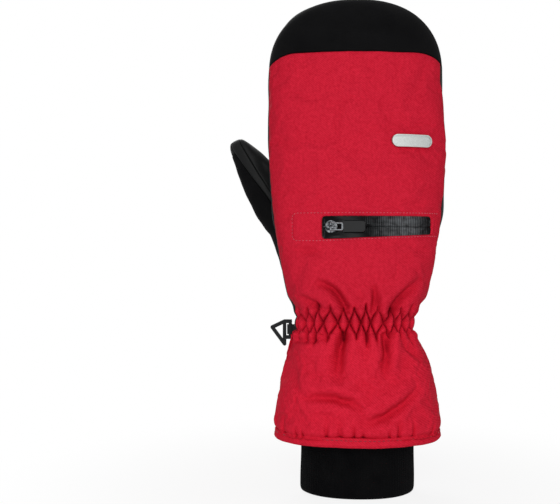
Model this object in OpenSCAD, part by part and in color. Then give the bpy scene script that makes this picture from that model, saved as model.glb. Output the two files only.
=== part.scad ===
// Ski mitten for the right hand: padded shell with a zipped back pocket, a
// flared gauntlet, a knit cuff inside it and a clip that keeps a pair together.
// Origin: centre of the knit cuff's rim. +Z runs to the fingertips, -Y is the
// back of the hand, +Y is the palm, and the thumb points to -X.

/* [Hand] */
// Height from the knit rim to the fingertips
mitten_h = 352; // [340:1:370]
// Height of the wrist seam
wrist_z = 120; // [114:1:126]
// Height at which the hand reaches its full width
knuckle_z = 255; // [240:1:270]
// Height of the fingertip arch
arch_h = 54; // [48:1:62]
// Width across the knuckles
hand_w = 127; // [118:1:136]
// Width at the wrist seam
wrist_w = 84; // [80:1:90]
// Depth at the wrist seam, back to palm
wrist_d = 60; // [56:1:66]
// Depth of the back, from the middle plane outwards
back_d = 30; // [27:0.5:33]
// Depth of the palm, from the middle plane outwards
palm_d = 28; // [26:0.5:31]
// How much each half thins out towards the fingertips
tip_drop = 4; // [2:0.5:6]
// Height of the fingertip cap, from its seam to the tip
cap_h = 42; // [34:1:48]
// Drop from the fingertips to the seam across the palm
palm_seam_drop = 83; // [72:1:97]
// Width of the wall between back and palm along the sides
wall_w = 6.5; // [5:0.5:9]
// Height of that wall over the fingertips
wall_tip_h = 14.5; // [10:0.5:18]

/* [Layers] */
// Thickness of the outer fabric and of the palm
skin_t = 0.8; // [0.6:0.1:1.0]
// Thickness of the pocket bag
bag_t = 0.6; // [0.4:0.1:0.8]
// Thickness of the padding on the palm
fill_t = 6; // [5.5:0.1:6.5]
// Thickness of the hand lining
lining_t = 1.3; // [1:0.1:2]
// Thickness of the gauntlet's lining
gauntlet_lining_t = 0.5; // [0.4:0.1:0.8]
// Slack between neighbouring layers
layer_gap = 0.3; // [0.2:0.1:0.4]
// Width of the gap that a seam leaves between two panels
seam_gap = 0.3; // [0.2:0.05:0.4]

/* [Gauntlet and cuff] */
// Height of the gauntlet's lower edge above the rim
hem_z = 38; // [30:1:44]
// Height of the hem band
hem_h = 9; // [7:0.5:12]
// Thickness of the hem band
hem_t = 2.6; // [2.2:0.1:3.5]
// Width of the gauntlet at the hem
hem_w = 118; // [110:1:126]
// Depth of the gauntlet at the hem
hem_d = 80; // [74:1:86]
// Gathered folds on each half of the gauntlet
folds = 7; // [5:1:8]
// Height of a fold at the wrist seam
fold_h = 1.6; // [0.8:0.1:2]
// Height over which the folds fade out above the wrist seam
gather_h = 13; // [9:1:13]
// Width of the wrist elastic
elastic_h = 20; // [14:1:22]
// Thickness of the wrist elastic
elastic_t = 1.2; // [0.8:0.1:1.4]
// Room between the knit cuff and the wrist elastic
knit_slack = 1.2; // [0.6:0.1:2]
// Thickness of the knit cuff's folded wall
knit_t = 3; // [2.6:0.1:3.4]

/* [Thumb] */
// Sideways place of the thumb's mouth on the palm
mouth_x = -37; // [-39:0.5:-35]
// Height of the middle of the thumb's mouth above the wrist seam
mouth_rise = 41; // [40:1:46]
// Width of the thumb's mouth
mouth_w = 29; // [26:0.5:31]
// Height of the thumb's mouth
mouth_h = 53; // [48:1:53]
// Distance of the thumb's foot from its mouth, away from the hand's middle
foot_aside = 12.5; // [11:0.5:14]
// Distance of the thumb's foot from its mouth, out of the palm
foot_out = 11; // [10.5:0.5:13]
// Distance of the thumb's foot above the middle of its mouth
foot_up = 23; // [22:0.5:26]
// Lean of the thumb away from the hand, in degrees
thumb_lean = 25; // [20:1:28]
// Length of the thumb's straight part
thumb_len = 78; // [70:1:84]
// Width of the thumb at its foot
thumb_w = 35; // [32:0.5:37]
// Depth of the thumb at its foot
thumb_d = 28; // [26:0.5:29]
// How much narrower the thumb is near its tip
thumb_taper = 6; // [3:0.5:8]
// Length of the thumb's rounded tip
thumb_tip_h = 15; // [12:1:18]
// Width of the rim between the thumb's mouth and the way into it
mouth_rim = 7; // [5:0.5:8]
// Thickness of the soft sleeve at the thumb's root
sleeve_t = 3; // [2:0.5:4]
// Thickness of the padding in the thumb
thumb_fill_t = 3; // [2:0.5:4]

/* [Zip pocket] */
// Height of the zip's middle line
zip_z = 188.5; // [185:0.5:192]
// Left end of the zip window
zip_left = -26; // [-28:1:-24]
// Right end of the zip window
zip_right = 48; // [44:1:50]
// Height of the zip window
zip_h = 15.5; // [14:0.5:17]
// Depth of the pocket bag below the zip
bag_h = 46; // [36:1:50]
// Width of one zip tape
tape_w = 8.7; // [8.5:0.1:9]
// Thickness of a zip tape
tape_t = 0.6; // [0.4:0.1:0.7]
// Width of the slit between the tapes
zip_slit = 1.2; // [1.1:0.1:1.5]
// Width of one coil
coil_w = 2; // [1.6:0.1:2.2]
// Height of a coil behind its tape
coil_t = 1.2; // [1:0.1:1.3]
// Place of the slider when the pocket is closed
slider_x = -20.4; // [-21:0.1:-19]
// Diameter of the slider's round top plate
slider_d = 8.6; // [8:0.1:9.4]
// Thickness of the slider's plates
slider_plate_t = 1; // [0.8:0.1:1.1]
// Clearance of the slider on the tapes and coils
slider_gap = 0.25; // [0.2:0.05:0.3]
// Diameter of the puller's wire
wire_d = 1.2; // [1:0.1:1.4]
// Height of the puller's wire above the slider's top plate
wire_lift = 1; // [0.8:0.1:1.3]
// Clearance of the puller's wire in the slider's crown
wire_gap = 0.3; // [0.2:0.05:0.4]
// Distance between the two bars of the puller's eye
eye_len = 8; // [6.5:0.5:9]
// Length of the rubber tab
tab_len = 15; // [12:0.5:18]
// Width of the rubber tab
tab_w = 7.5; // [6.5:0.5:9]
// Thickness of the rubber tab
tab_t = 2.2; // [2:0.1:2.4]

/* [Badge] */
// Sideways place of the badge on the back
badge_x = 36; // [30:1:38]
// Height of the badge's middle
badge_z = 248; // [235:1:258]
// Length of the badge
badge_w = 30; // [24:1:32]
// Height of the badge
badge_h = 8.5; // [7:0.5:10]
// Thickness of the badge plate
badge_t = 1.1; // [0.8:0.1:1.6]
// Height of the raised rim round the badge
badge_rim_t = 0.5; // [0.3:0.1:0.8]
// Width of the raised rim round the badge
badge_rim_w = 0.8; // [0.5:0.1:1.2]

/* [Clip] */
// Distance of the clip's middle below the wrist seam
hook_drop = 4.5; // [3:0.5:6]
// Distance of the clip's bar from the wrist
hook_reach = 6; // [6:0.1:7]
// Length of the clip's bar
hook_bar_len = 14; // [13:0.5:15]
// Diameter of the clip's bar
hook_bar_d = 2.4; // [2:0.1:2.8]
// Reach of the clip's point from its bar
hook_len = 13; // [11:0.5:16]
// Width of the clip's frame
hook_frame_w = 2.6; // [2.2:0.1:3]
// Thickness of the clip's frame
hook_t = 3; // [2.4:0.1:3.4]
// Width of the webbing loop that holds the clip
loop_h = 7; // [6:0.5:7.5]
// Thickness of one ply of that webbing
loop_t = 0.9; // [0.7:0.1:1]
// Clearance of the clip's bar in the webbing loop
hook_gap = 0.25; // [0.15:0.05:0.35]

/* [Hidden] */

$fn = 48;
BACK = -1;
PALM = 1;

red = "#c02034";
black = "#101112";
charcoal = "#232625";
grey = "#8f9496";

// Shape exponents: how fast the hand opens out above the wrist, how square the
// fingertip arch and the thumb's tip are, and how fast the gathers fade
open_power = 0.7;
arch_power = 2.3;
tip_power = 2.4;
fold_fade = 1.5;

// The fingertip arch, and the seam line of the palm inside it
arch_w = hand_w / 2;
arch_z = mitten_h - arch_h;
cap_seam_z = mitten_h - cap_h;
palm_seam_z = mitten_h - palm_seam_drop;
palm_arch_w = arch_w - wall_w;
palm_arch_h = arch_h - wall_tip_h;

// Insets of the layers from the outer face
bag_in = skin_t + 2 * layer_gap;
tape_in = skin_t + 2 * layer_gap;
back_fill_in = bag_in + bag_t + 2 * layer_gap;
palm_fill_in = skin_t + 2 * layer_gap;
fill_out = palm_fill_in + fill_t;
lining_in = fill_out + 2 * layer_gap;
lining_out = lining_in + lining_t;

// Heights at which the padding and the lining start
fill_z = wrist_z + elastic_h / 2 + 4 * layer_gap;
lining_lap = 4;
lining_z = wrist_z + lining_lap;

// The elastic lies behind the gathers, and the knit cuff inside the elastic
elastic_in = skin_t + layer_gap;
knit_in = elastic_in + elastic_t + knit_slack;
knit_hw = wrist_w / 2 - knit_in;
knit_hd = wrist_d / 2 - knit_in;

function share(t) = min(1, max(0, t));
function ease(t) = share(t) * share(t) * (3 - 2 * share(t));
function unit(v) = v / norm(v);
function lerp(a, b, t) = a + (b - a) * t;

// Splits each stretch between neighbouring marks into its count of equal steps
function steps(marks, counts) = concat(
    [for (k = [0:len(counts) - 1], i = [0:counts[k] - 1]) lerp(marks[k], marks[k + 1], i / counts[k])],
    [marks[len(marks) - 1]]
);

// Half width of the hand at a height, below the fingertip arch
function hand_hw(z) =
    lerp(wrist_w, hand_w, pow(sin(90 * share((z - wrist_z) / (knuckle_z - wrist_z))), open_power)) / 2;

// Half width of the outline at any height of the hand
function outline_hw(z) = z <= arch_z
    ? hand_hw(z)
    : arch_w * pow(max(0, 1 - pow((z - arch_z) / arch_h, arch_power)), 1 / arch_power);

// Half width of the palm panel, inside the finger walls
function palm_hw(z) = z <= arch_z
    ? hand_hw(z) - wall_w
    : palm_arch_w * pow(max(0, 1 - pow((z - arch_z) / palm_arch_h, arch_power)), 1 / arch_power);

// Depth of one half of the hand on its middle line
function half_depth(z, side) =
    let (full = side == BACK ? back_d : palm_d)
    let (middle = (wrist_z + knuckle_z) / 2)
    lerp(wrist_d / 2, full, ease((z - wrist_z) / (middle - wrist_z)))
    - tip_drop * ease((z - middle) / (arch_z - middle));

// How near a place on the hand is to the outline: 0 in the middle, 1 on it
function nearness(x, z) = z <= arch_z
    ? abs(x) / hand_hw(z)
    : pow(pow(abs(x) / arch_w, arch_power) + pow((z - arch_z) / arch_h, arch_power), 1 / arch_power);

// Point of the hand under the place (x, z) of its outer face, at a depth inset
function hand_pt(x, z, side, inset) =
    let (low = z <= arch_z)
    let (near = min(1, nearness(x, z)))
    let (hw = low ? hand_hw(z) : arch_w)
    [
        x * (hw - inset) / hw,
        side * (half_depth(min(z, arch_z), side) - inset) * sqrt(1 - near * near),
        low ? z : arch_z + (z - arch_z) * (arch_h - inset) / arch_h
    ];

// Height of the gathered folds at a share of the half width
function fold_wave(across) = fold_h * (1 - cos(2 * folds * acos(max(-1, min(1, across))))) / 2;
function hand_fold(x, z) =
    fold_wave(x / hand_hw(min(z, arch_z))) * pow(1 - share((z - wrist_z) / gather_h), fold_fade);
function skin_pt(x, z, side, inset) = hand_pt(x, z, side, inset - hand_fold(x, z));

// Gauntlet: half width, half depth and the point at an angle round it
function flare(z) = sin(90 * share((wrist_z - z) / (wrist_z - hem_z)));
function gauntlet_hw(z) = lerp(wrist_w, hem_w, flare(z)) / 2;
function gauntlet_hd(z) = lerp(wrist_d, hem_d, flare(z)) / 2;
function gauntlet_fold(a, z) =
    fold_wave(cos(a)) * pow(share((z - hem_z - hem_h) / (wrist_z - hem_z - hem_h)), fold_fade);
function gauntlet_pt(a, z, inset) =
    let (depth = inset - gauntlet_fold(a, z))
    [(gauntlet_hw(z) - depth) * cos(a), (gauntlet_hd(z) - depth) * sin(a), z];

// Closed solid between two grids of points. A ring joins its last column to its
// first. The cells in skip, [first row, last row, first column, last column],
// are left open.
module shell(outer, inner, ring = false, skip = [1, 0, 1, 0]) {
    cols = len(outer[0]);
    tall = len(outer) - 1;
    wide = ring ? cols : cols - 1;
    points = concat([for (row = outer) each row], [for (row = inner) each row]);
    deep = len(outer) * cols;
    open = function (i, j) i >= skip[0] && i <= skip[1] && j >= skip[2] && j <= skip[3];
    wrap = function (j) ring ? (j + cols) % cols : j;
    solid = function (i, j)
        i >= 0 && i < tall && wrap(j) >= 0 && wrap(j) < wide && !open(i, wrap(j));
    quad = function (a, b, c, d) [[a, b, c], [a, c, d]];
    faces = [
        for (i = [0:tall - 1], j = [0:wide - 1])
        if (solid(i, j))
        let (a = i * cols + j, b = i * cols + wrap(j + 1))
        let (c = b + cols, d = a + cols)
        each concat(
            quad(a, b, c, d),
            quad(d + deep, c + deep, b + deep, a + deep),
            solid(i - 1, j) ? [] : quad(b, a, a + deep, b + deep),
            solid(i + 1, j) ? [] : quad(d, c, c + deep, d + deep),
            solid(i, j - 1) ? [] : quad(a, d, d + deep, a + deep),
            solid(i, j + 1) ? [] : quad(c, b, b + deep, c + deep)
        )
    ];
    apart = function (a, b) norm(points[a] - points[b]) > 0.0001;
    kept = [for (f = faces) if (apart(f[0], f[1]) && apart(f[1], f[2]) && apart(f[2], f[0])) f];
    volume = [for (f = kept) cross(points[f[0]], points[f[1]]) * points[f[2]]] * [for (f = kept) 1];
    polyhedron(points, volume > 0 ? [for (f = kept) [f[2], f[1], f[0]]] : kept);
}

// Piece of one half of the hand, between two insets: columns are angles across
// the hand, -90 to 90, and rows are heights
module hand_half(rows, angles, side, inset, depth, skip = [1, 0, 1, 0]) {
    grid = function (t) [for (z = rows) [for (a = angles) hand_pt(outline_hw(z) * sin(a), z, side, t(a, z))]];
    shell(grid(inset), grid(depth), skip = skip);
}

// Heights of the rounded fingertips from a start height to the top
function tip_rows(start, count) =
    let (first = asin((start - arch_z) / arch_h))
    [for (i = [0:count]) arch_z + arch_h * sin(lerp(first, 90, i / count))];

// Angle across the hand of a place x on its outer face
function across(x, z) = asin(x / hand_hw(z));

// Outer fabric of the back, with the zip window
zip_low = zip_z - zip_h / 2;
zip_high = zip_z + zip_h / 2;
gather_steps = 2;
back_steps = [8, 12, 5];
back_angles = steps([-90, across(zip_left, zip_z), across(zip_right, zip_z), 90], back_steps);

module back_panel() {
    rows = steps(
        [wrist_z, wrist_z + gather_h, zip_low, zip_high, cap_seam_z - seam_gap],
        [gather_steps, 2, 1, 4]
    );
    row = gather_steps + 2;
    first = back_steps[0];
    window = [row, row, first, first + back_steps[1] - 1];
    color(red) skin_half(rows, back_angles, BACK, window);
}

module fingertip_cap() {
    color(black) skin_half(tip_rows(cap_seam_z, 5), back_angles, BACK);
}

// Outer fabric over one half of the hand, with the gathers at the wrist
module skin_half(rows, angles, side, skip = [1, 0, 1, 0]) {
    grid = function (t) [for (z = rows) [for (a = angles) skin_pt(outline_hw(z) * sin(a), z, side, t)]];
    shell(grid(0), grid(skin_t), skip = skip);
}

// Wall between back and palm, from the wrist up one side and over the
// fingertips to the middle. sign is -1 on the thumb's side.
module finger_wall(sign) {
    share_in = [0, 0.12, 0.45, 1];
    side_run = [for (z = steps([wrist_z, wrist_z + gather_h, arch_z], [gather_steps, 5]))
        [[hand_hw(z), z], [palm_hw(z), z]]];
    tip_run = [for (i = [1:8])
        let (c = pow(cos(90 * i / 8), 2 / arch_power), s = pow(sin(90 * i / 8), 2 / arch_power))
        [[arch_w * c, arch_z + arch_h * s], [palm_arch_w * c, arch_z + palm_arch_h * s]]];
    run = concat(side_run, tip_run);
    top = len(run) - 1;
    grid = function (t) [for (i = [0:top]) [for (v = share_in)
        let (p = lerp(run[i][0], run[i][1], v))
        skin_pt(sign * max(p[0], seam_gap / 2), p[1], PALM, t)]];
    clear = function (g) [for (row = g) [for (p = row) p + [0, seam_gap, 0]]];
    color(charcoal) shell(clear(grid(0)), clear(grid(skin_t)));
}
module finger_wall_thumb_side() { finger_wall(-1); }
module finger_wall_pinky_side() { finger_wall(1); }

// Palm panels, inside the finger walls
mouth_z = wrist_z + mouth_rise;
hole_w = mouth_w - 2 * mouth_rim;
hole_h = mouth_h - 2 * mouth_rim;
hole_low = mouth_z - hole_h / 2;
hole_high = mouth_z + hole_h / 2;
hole_left = mouth_x - hole_w / 2;
hole_right = mouth_x + hole_w / 2;

// Angles across the hand of the hole's two sides, in a layer at an inset
hole_side_limit = 0.96;
function hole_turns(inset) =
    let (hw = hand_hw(mouth_z) - inset)
    [asin(max(-hole_side_limit, hole_left / hw)), asin(hole_right / hw)];

module palm_panel(rows, shares, skip = [1, 0, 1, 0]) {
    grid = function (t) [for (z = rows) [for (s = shares)
        skin_pt(s * (palm_hw(z) - 1.5 * seam_gap), z, PALM, t) + [0, seam_gap, 0]]];
    color(charcoal) shell(grid(0), grid(skin_t), skip = skip);
}

module palm_upper() {
    rows = concat(
        steps([palm_seam_z + seam_gap, arch_z], [2]),
        [for (i = [1:5]) arch_z + (palm_arch_h - 1.5 * seam_gap) * sin(90 * i / 5)]
    );
    palm_panel(rows, [for (i = [0:14]) sin(lerp(-90, 90, i / 14))]);
}

module palm_lower() {
    hw = palm_hw(mouth_z);
    turns = steps([-90, asin(hole_left / hw), asin(hole_right / hw), 90], [3, 3, 13]);
    rows = steps(
        [wrist_z, wrist_z + gather_h, hole_low, hole_high, palm_seam_z - seam_gap],
        [gather_steps, 1, 2, 4]
    );
    first = gather_steps + 1;
    palm_panel(rows, [for (a = turns) sin(a)], [first, first + 1, 3, 5]);
}

// Padding. On the back it makes room for the zip, whose parts reach inwards:
// the zip's arc lies a little below the back's outer face between its ends.
arc_slack = 1.9;
zip_reach = tape_in + tape_t + coil_t + slider_gap + slider_plate_t + arc_slack;
recess_over = 4;
recess_turn = 9;
recess_slope = 3;
recess_low = zip_z - tape_w - recess_over;
recess_high = zip_z + tape_w + recess_over;
recess_from = across(zip_left, zip_z) - recess_turn;
recess_to = across(zip_right, zip_z) + recess_turn;
within = function (v, low, high) v > low - recess_slope / 2 && v < high + recess_slope / 2;
back_fill_face = function (a, z)
    within(z, recess_low, recess_high) && within(a, recess_from, recess_to) ? zip_reach : back_fill_in;
palm_fill_face = function (a, z) palm_fill_in;
fill_depth = function (a, z) fill_out;
fill_edge = 88;
arch_rows = [for (i = [1:5]) arch_z + arch_h * sin(90 * i / 5)];

module insulation_back() {
    zip_rows = [recess_low - recess_slope, recess_low, recess_high, recess_high + recess_slope];
    rows = concat(steps(concat(fill_z, zip_rows, arch_z), [2, 1, 1, 1, 3]), arch_rows);
    angles = steps(
        [-fill_edge, recess_from - recess_slope, recess_from, recess_to, recess_to + recess_slope, fill_edge],
        [3, 1, 7, 1, 2]
    );
    color("#e9e6dc") hand_half(rows, angles, BACK, back_fill_face, fill_depth);
}

module insulation_palm() {
    rows = concat(steps([fill_z, hole_low, hole_high, arch_z], [1, 2, 4]), arch_rows);
    hole = hole_turns((palm_fill_in + fill_out) / 2);
    angles = steps([-fill_edge, hole[0], hole[1], fill_edge], [2, 2, 8]);
    color("#e9e6dc") hand_half(rows, angles, PALM, palm_fill_face, fill_depth, [1, 2, 2, 3]);
}

// Lining: one bag round the whole hand, with the way into the thumb. Its lower
// edge meets the knit cuff.
module hand_lining() {
    turns = 12;
    hole = hole_turns((lining_in + lining_out) / 2);
    palm_angles = steps([-90, hole[0], hole[1], 90], [2, 2, 8]);
    rows = concat(steps([fill_z - layer_gap, hole_low, hole_high, arch_z], [1, 2, 4]), arch_rows);
    start = (knit_t - lining_t) / 2;
    foot = function (x, side, t)
        let (share_x = x / outline_hw(wrist_z))
        [(knit_hw - t) * share_x, side * (knit_hd - t) * sqrt(1 - share_x * share_x), lining_z];
    half = function (angles, z, side, t) [for (i = [0:turns - 1])
        hand_pt(outline_hw(z) * sin(angles[i]), z, side, t)];
    half_foot = function (angles, side, t) [for (i = [0:turns - 1])
        foot(outline_hw(wrist_z) * sin(angles[i]), side, t)];
    back_turns = steps([90, -90], [turns]);
    ring = function (z, t) concat(half(palm_angles, z, PALM, t), half(back_turns, z, BACK, t));
    foot_ring = function (t) concat(half_foot(palm_angles, PALM, t), half_foot(back_turns, BACK, t));
    color("#3a3d40") shell(
        concat([foot_ring(start)], [for (z = rows) ring(z, lining_in)]),
        concat([foot_ring(start + lining_t)], [for (z = rows) ring(z, lining_out)]),
        ring = true, skip = [2, 3, 2, 3]
    );
}

// Gauntlet: two halves that meet at the side seams, and one lining
hem_top = hem_z + hem_h + seam_gap;
gauntlet_shares = [0, 0.18, 0.37, 0.56, 0.73, 0.87, 1];
gauntlet_rows = [for (s = gauntlet_shares) lerp(hem_top, wrist_z - seam_gap, s)];
lining_rows = 5;
gauntlet_step = 180 / 28;
seam_turn = 0.15;

module gauntlet_half(start) {
    turns = [for (i = [0:28]) start + max(seam_turn, min(180 - seam_turn, i * gauntlet_step))];
    color(red) shell(
        [for (z = gauntlet_rows) [for (a = turns) gauntlet_pt(a, z, 0)]],
        [for (z = gauntlet_rows) [for (a = turns) gauntlet_pt(a, z, skin_t)]]
    );
}
module gauntlet_back() { gauntlet_half(180); }
module gauntlet_palm() { gauntlet_half(0); }

module gauntlet_lining() {
    face = skin_t + layer_gap;
    rows = [for (i = [0:lining_rows - 1]) gauntlet_rows[i]];
    grid = function (t) [for (z = rows) [for (i = [0:55]) gauntlet_pt(i * gauntlet_step, z, t)]];
    color("#2b2d30") shell(grid(face), grid(face + gauntlet_lining_t), ring = true);
}

// Hem band: its outer face bulges a little past the gauntlet. Each row has its
// share of the height and its inset.
hem_bulge = 0.6;
hem_profile = [[0, 0.3], [0.25, -0.8 * hem_bulge], [0.6, -hem_bulge], [1, 0.2]];

module cuff_hem() {
    grid = function (deep) [for (r = hem_profile) [for (i = [0:55])
        gauntlet_pt(i * gauntlet_step, hem_z + r[0] * hem_h, deep ? hem_t - hem_bulge : r[1])]];
    color(red) shell(grid(false), grid(true), ring = true);
}

// Elastic inside the wrist, behind the gathers
module wrist_elastic() {
    turns = [for (i = [0:47]) i * 360 / 48];
    ring = function (z, t) [for (a = turns)
        [(wrist_w / 2 - t) * cos(a), (wrist_d / 2 - t) * sin(a), z]];
    levels = [wrist_z - elastic_h / 2, wrist_z + elastic_h / 2];
    color("#f2f2f0") shell(
        [for (z = levels) ring(z, elastic_in)],
        [for (z = levels) ring(z, elastic_in + elastic_t)],
        ring = true
    );
}

// Knit cuff: a folded rib-knit tube, sewn to the lining's lower edge. Each row
// has its height and its inset.
knit_round = 0.8;

module knit_cuff() {
    turns = [for (i = [0:39]) i * 9];
    top = lining_z - seam_gap;
    rows = [[0, knit_round], [3, 0], [hem_z / 2, 0.3], [hem_z, 0.6], [lerp(hem_z, top, 0.6), 0.4], [top, 0]];
    ring = function (z, t) [for (a = turns) [(knit_hw - t) * cos(a), (knit_hd - t) * sin(a), z]];
    color(black) shell(
        [for (r = rows) ring(r[0], r[1])],
        [for (r = rows) ring(r[0], knit_t)],
        ring = true
    );
}

// Thumb: a straight tapered part on a sleeve that rises from the palm
thumb_rise = 3.5;
thumb_dir = unit([-sin(thumb_lean), tan(thumb_rise), cos(thumb_lean)]);
thumb_across = unit(cross([0, 1, 0], thumb_dir));
thumb_out = cross(thumb_dir, thumb_across);
mouth_mid = hand_pt(mouth_x, mouth_z, PALM, 0);
mouth_hw = hand_hw(mouth_z);
mouth_hd = half_depth(mouth_z, PALM);
mouth_normal = unit([mouth_x / pow(mouth_hw, 2), mouth_mid[1] / pow(mouth_hd, 2), 0]);
thumb_foot = mouth_mid + [-foot_aside, foot_out, foot_up];

function tip_share(s) =
    pow(max(0, 1 - pow(max(0, s - thumb_len + thumb_tip_h) / thumb_tip_h, tip_power)), 1 / tip_power);
function thumb_pt(a, s, inset) =
    let (narrow = thumb_taper * share(s / (thumb_len - thumb_tip_h)))
    thumb_foot + thumb_dir * s * (thumb_len - inset) / thumb_len
    + thumb_across * ((thumb_w - narrow) / 2 - inset) * tip_share(s) * cos(a)
    + thumb_out * ((thumb_d - narrow) / 2 - inset) * tip_share(s) * sin(a);

// Point of the thumb's mouth on the palm: its top is the crotch of the thumb
function mouth_pt(a, inset) = hand_pt(
    mouth_x + (mouth_w / 2 - inset) * cos(a), mouth_z - (mouth_h / 2 - inset) * sin(a), PALM, -2 * seam_gap);

// Curve from the mouth, square to the palm, into the thumb's direction
function sleeve_pt(a, u, inset) =
    let (p = mouth_pt(a, inset), q = thumb_pt(a, 0, inset))
    let (pull = 0.8 * norm(q - p))
    p * (1 + 2 * u) * pow(1 - u, 2) + q * u * u * (3 - 2 * u)
    + mouth_normal * pull * u * pow(1 - u, 2) - thumb_dir * pull * u * u * (1 - u);

thumb_rows = concat(
    steps([2 * seam_gap, thumb_len - thumb_tip_h], [4]),
    [for (i = [1:5]) thumb_len - thumb_tip_h + thumb_tip_h * sin(90 * i / 5)]
);
thumb_seams = [-40, 40, 235];

module thumb_sleeve() {
    count = 24;
    turns = [for (i = [0:count - 1]) i * 360 / count];
    grid = function (t) [for (u = [0:0.2:1]) [for (a = turns) sleeve_pt(a, u, t)]];
    color(black) shell(grid(0), grid(sleeve_t), ring = true);
}

module thumb_panel(from, to, count) {
    seam_turn = asin(seam_gap / thumb_d);
    turns = [for (i = [0:count]) lerp(from + seam_turn, to - seam_turn, i / count)];
    shell(
        [for (s = thumb_rows) [for (a = turns) thumb_pt(a, s, 0)]],
        [for (s = thumb_rows) [for (a = turns) thumb_pt(a, s, skin_t)]]
    );
}
module thumb_gusset() { color(charcoal) thumb_panel(thumb_seams[0], thumb_seams[1], 5); }
module thumb_outer_panel() { color(black) thumb_panel(thumb_seams[1], thumb_seams[2], 12); }
module thumb_inner_panel() { color(charcoal) thumb_panel(thumb_seams[2], thumb_seams[0] + 360, 6); }

module thumb_layer(face, depth) {
    count = 16;
    turns = [for (i = [0:count - 1]) i * 360 / count];
    grid = function (t) [for (s = thumb_rows) [for (a = turns) thumb_pt(a, s, t)]];
    shell(grid(face), grid(depth), ring = true);
}
thumb_fill_in = skin_t + 2 * layer_gap;
thumb_lining_in = thumb_fill_in + thumb_fill_t + layer_gap;
module thumb_insulation() { color("#e9e6dc") thumb_layer(thumb_fill_in, thumb_fill_in + thumb_fill_t); }
module thumb_lining() { color("#3a3d40") thumb_layer(thumb_lining_in, thumb_lining_in + lining_t); }

// Zip: it lies on an upright circular arc under the back panel. The arc meets
// the back's outer face on the middle line and at the zip's right end.
zip_end_x = zip_right + 1.5;
zip_top_y = half_depth(zip_z, BACK);
zip_edge_z = zip_z - zip_slit / 2 - tape_w;
zip_sag = zip_top_y - half_depth(zip_edge_z, BACK) * sqrt(1 - pow(zip_end_x / hand_hw(zip_edge_z), 2));
zip_r = (zip_end_x * zip_end_x + zip_sag * zip_sag) / (2 * zip_sag);
zip_axis_y = zip_r - zip_top_y;
function zip_angle(x) = asin(x / zip_r);

tape_r = zip_r - tape_in;
coil_r = tape_r - tape_t - seam_gap / 2;
slider_a = zip_angle(slider_x);
slider_face_r = tape_r + slider_gap + slider_plate_t;
wire_r = slider_face_r + wire_lift + wire_d / 2;

// Bar bent along the zip's arc, between two radii, two heights above the zip's
// middle line and two angles from the back's middle line
module arc_bar(r0, r1, z0, z1, a0, a1) {
    translate([0, zip_axis_y, zip_z])
        rotate([0, 0, a0 - 90])
            rotate_extrude(angle = a1 - a0, $fn = 180)
                translate([r0, z0])
                    square([r1 - r0, z1 - z0]);
}

// Frame at a place on the zip's arc: +X along the zip, -Y outwards
module on_zip(a, r) {
    translate([0, zip_axis_y, zip_z]) rotate([0, 0, a]) translate([0, -r, 0]) children();
}

tape_from = zip_angle(zip_left - 1.5);
tape_to = zip_angle(zip_end_x);
stop_a = zip_angle(1.6);

module zipper_tape_upper() {
    color(black) arc_bar(tape_r - tape_t, tape_r, zip_slit / 2, zip_slit / 2 + tape_w, tape_from, tape_to);
}
module zipper_tape_lower() {
    color(black) arc_bar(tape_r - tape_t, tape_r, -zip_slit / 2 - tape_w, -zip_slit / 2, tape_from, tape_to);
}
module coil(low) {
    color("#1c1d1e")
        arc_bar(coil_r - coil_t, coil_r, low, low + coil_w, tape_from + 2 * stop_a, tape_to - 2 * stop_a);
}
module zipper_coil_upper() { coil(zip_slit / 2); }
module zipper_coil_lower() { coil(-zip_slit / 2 - coil_w); }

// Metal stops across both coils at the two ends
module zipper_stops() {
    half = zip_slit / 2 + coil_w;
    for (a = [tape_from + 0.7 * stop_a, tape_to - 1.7 * stop_a])
        color(grey) arc_bar(coil_r - coil_t, coil_r, -half, half, a, a + stop_a);
}

// Slider: round outer plate, inner plate behind the coils, the web between
// them in the slit, and the crown that holds the puller's wire
web_t = zip_slit - 2 * slider_gap;
web_turn = 1;
plate_inset = 0.8;
crown_w = 2.2;
crown_wall = 1.2;

module zipper_slider() {
    inner_r = coil_r - coil_t - slider_gap;
    top_r = slider_face_r - slider_plate_t;
    crown_r = wire_r + wire_d / 2 + wire_gap;
    post = zip_angle(wire_d / 2 + wire_gap);
    post_end = zip_angle(wire_d / 2 + wire_gap + crown_wall);
    half = slider_d / 2;
    turn = zip_angle(half);
    inner_half = half - plate_inset;
    inner_turn = zip_angle(inner_half);
    color(grey) {
        intersection() {
            arc_bar(top_r, slider_face_r, -slider_d, slider_d, slider_a - 2 * turn, slider_a + 2 * turn);
            on_zip(slider_a, inner_r) rotate([90, 0, 0])
                cylinder(d = slider_d, h = zip_r - inner_r + slider_d);
        }
        arc_bar(inner_r - slider_plate_t, inner_r, -inner_half, inner_half,
            slider_a - inner_turn, slider_a + inner_turn);
        arc_bar(inner_r - slider_plate_t / 2, top_r + slider_plate_t / 2, -web_t / 2, web_t / 2,
            slider_a - web_turn, slider_a + web_turn);
        for (from = [-post_end, post])
            arc_bar(top_r + slider_plate_t / 2, crown_r + crown_wall / 2, -crown_w / 2, crown_w / 2,
                slider_a + from, slider_a + from + post_end - post);
        arc_bar(crown_r, crown_r + crown_wall, -crown_w / 2, crown_w / 2,
            slider_a - post_end, slider_a + post_end);
    }
}

// Puller: a wire eye round the crown, with a flat stem inside a rubber tab
eye_w = crown_w + 4 * wire_gap + 2 * wire_d;
stem_len = 6;
stem_w = 3.6;
stem_t = 0.8;
stem_gap = 0.05;

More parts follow.
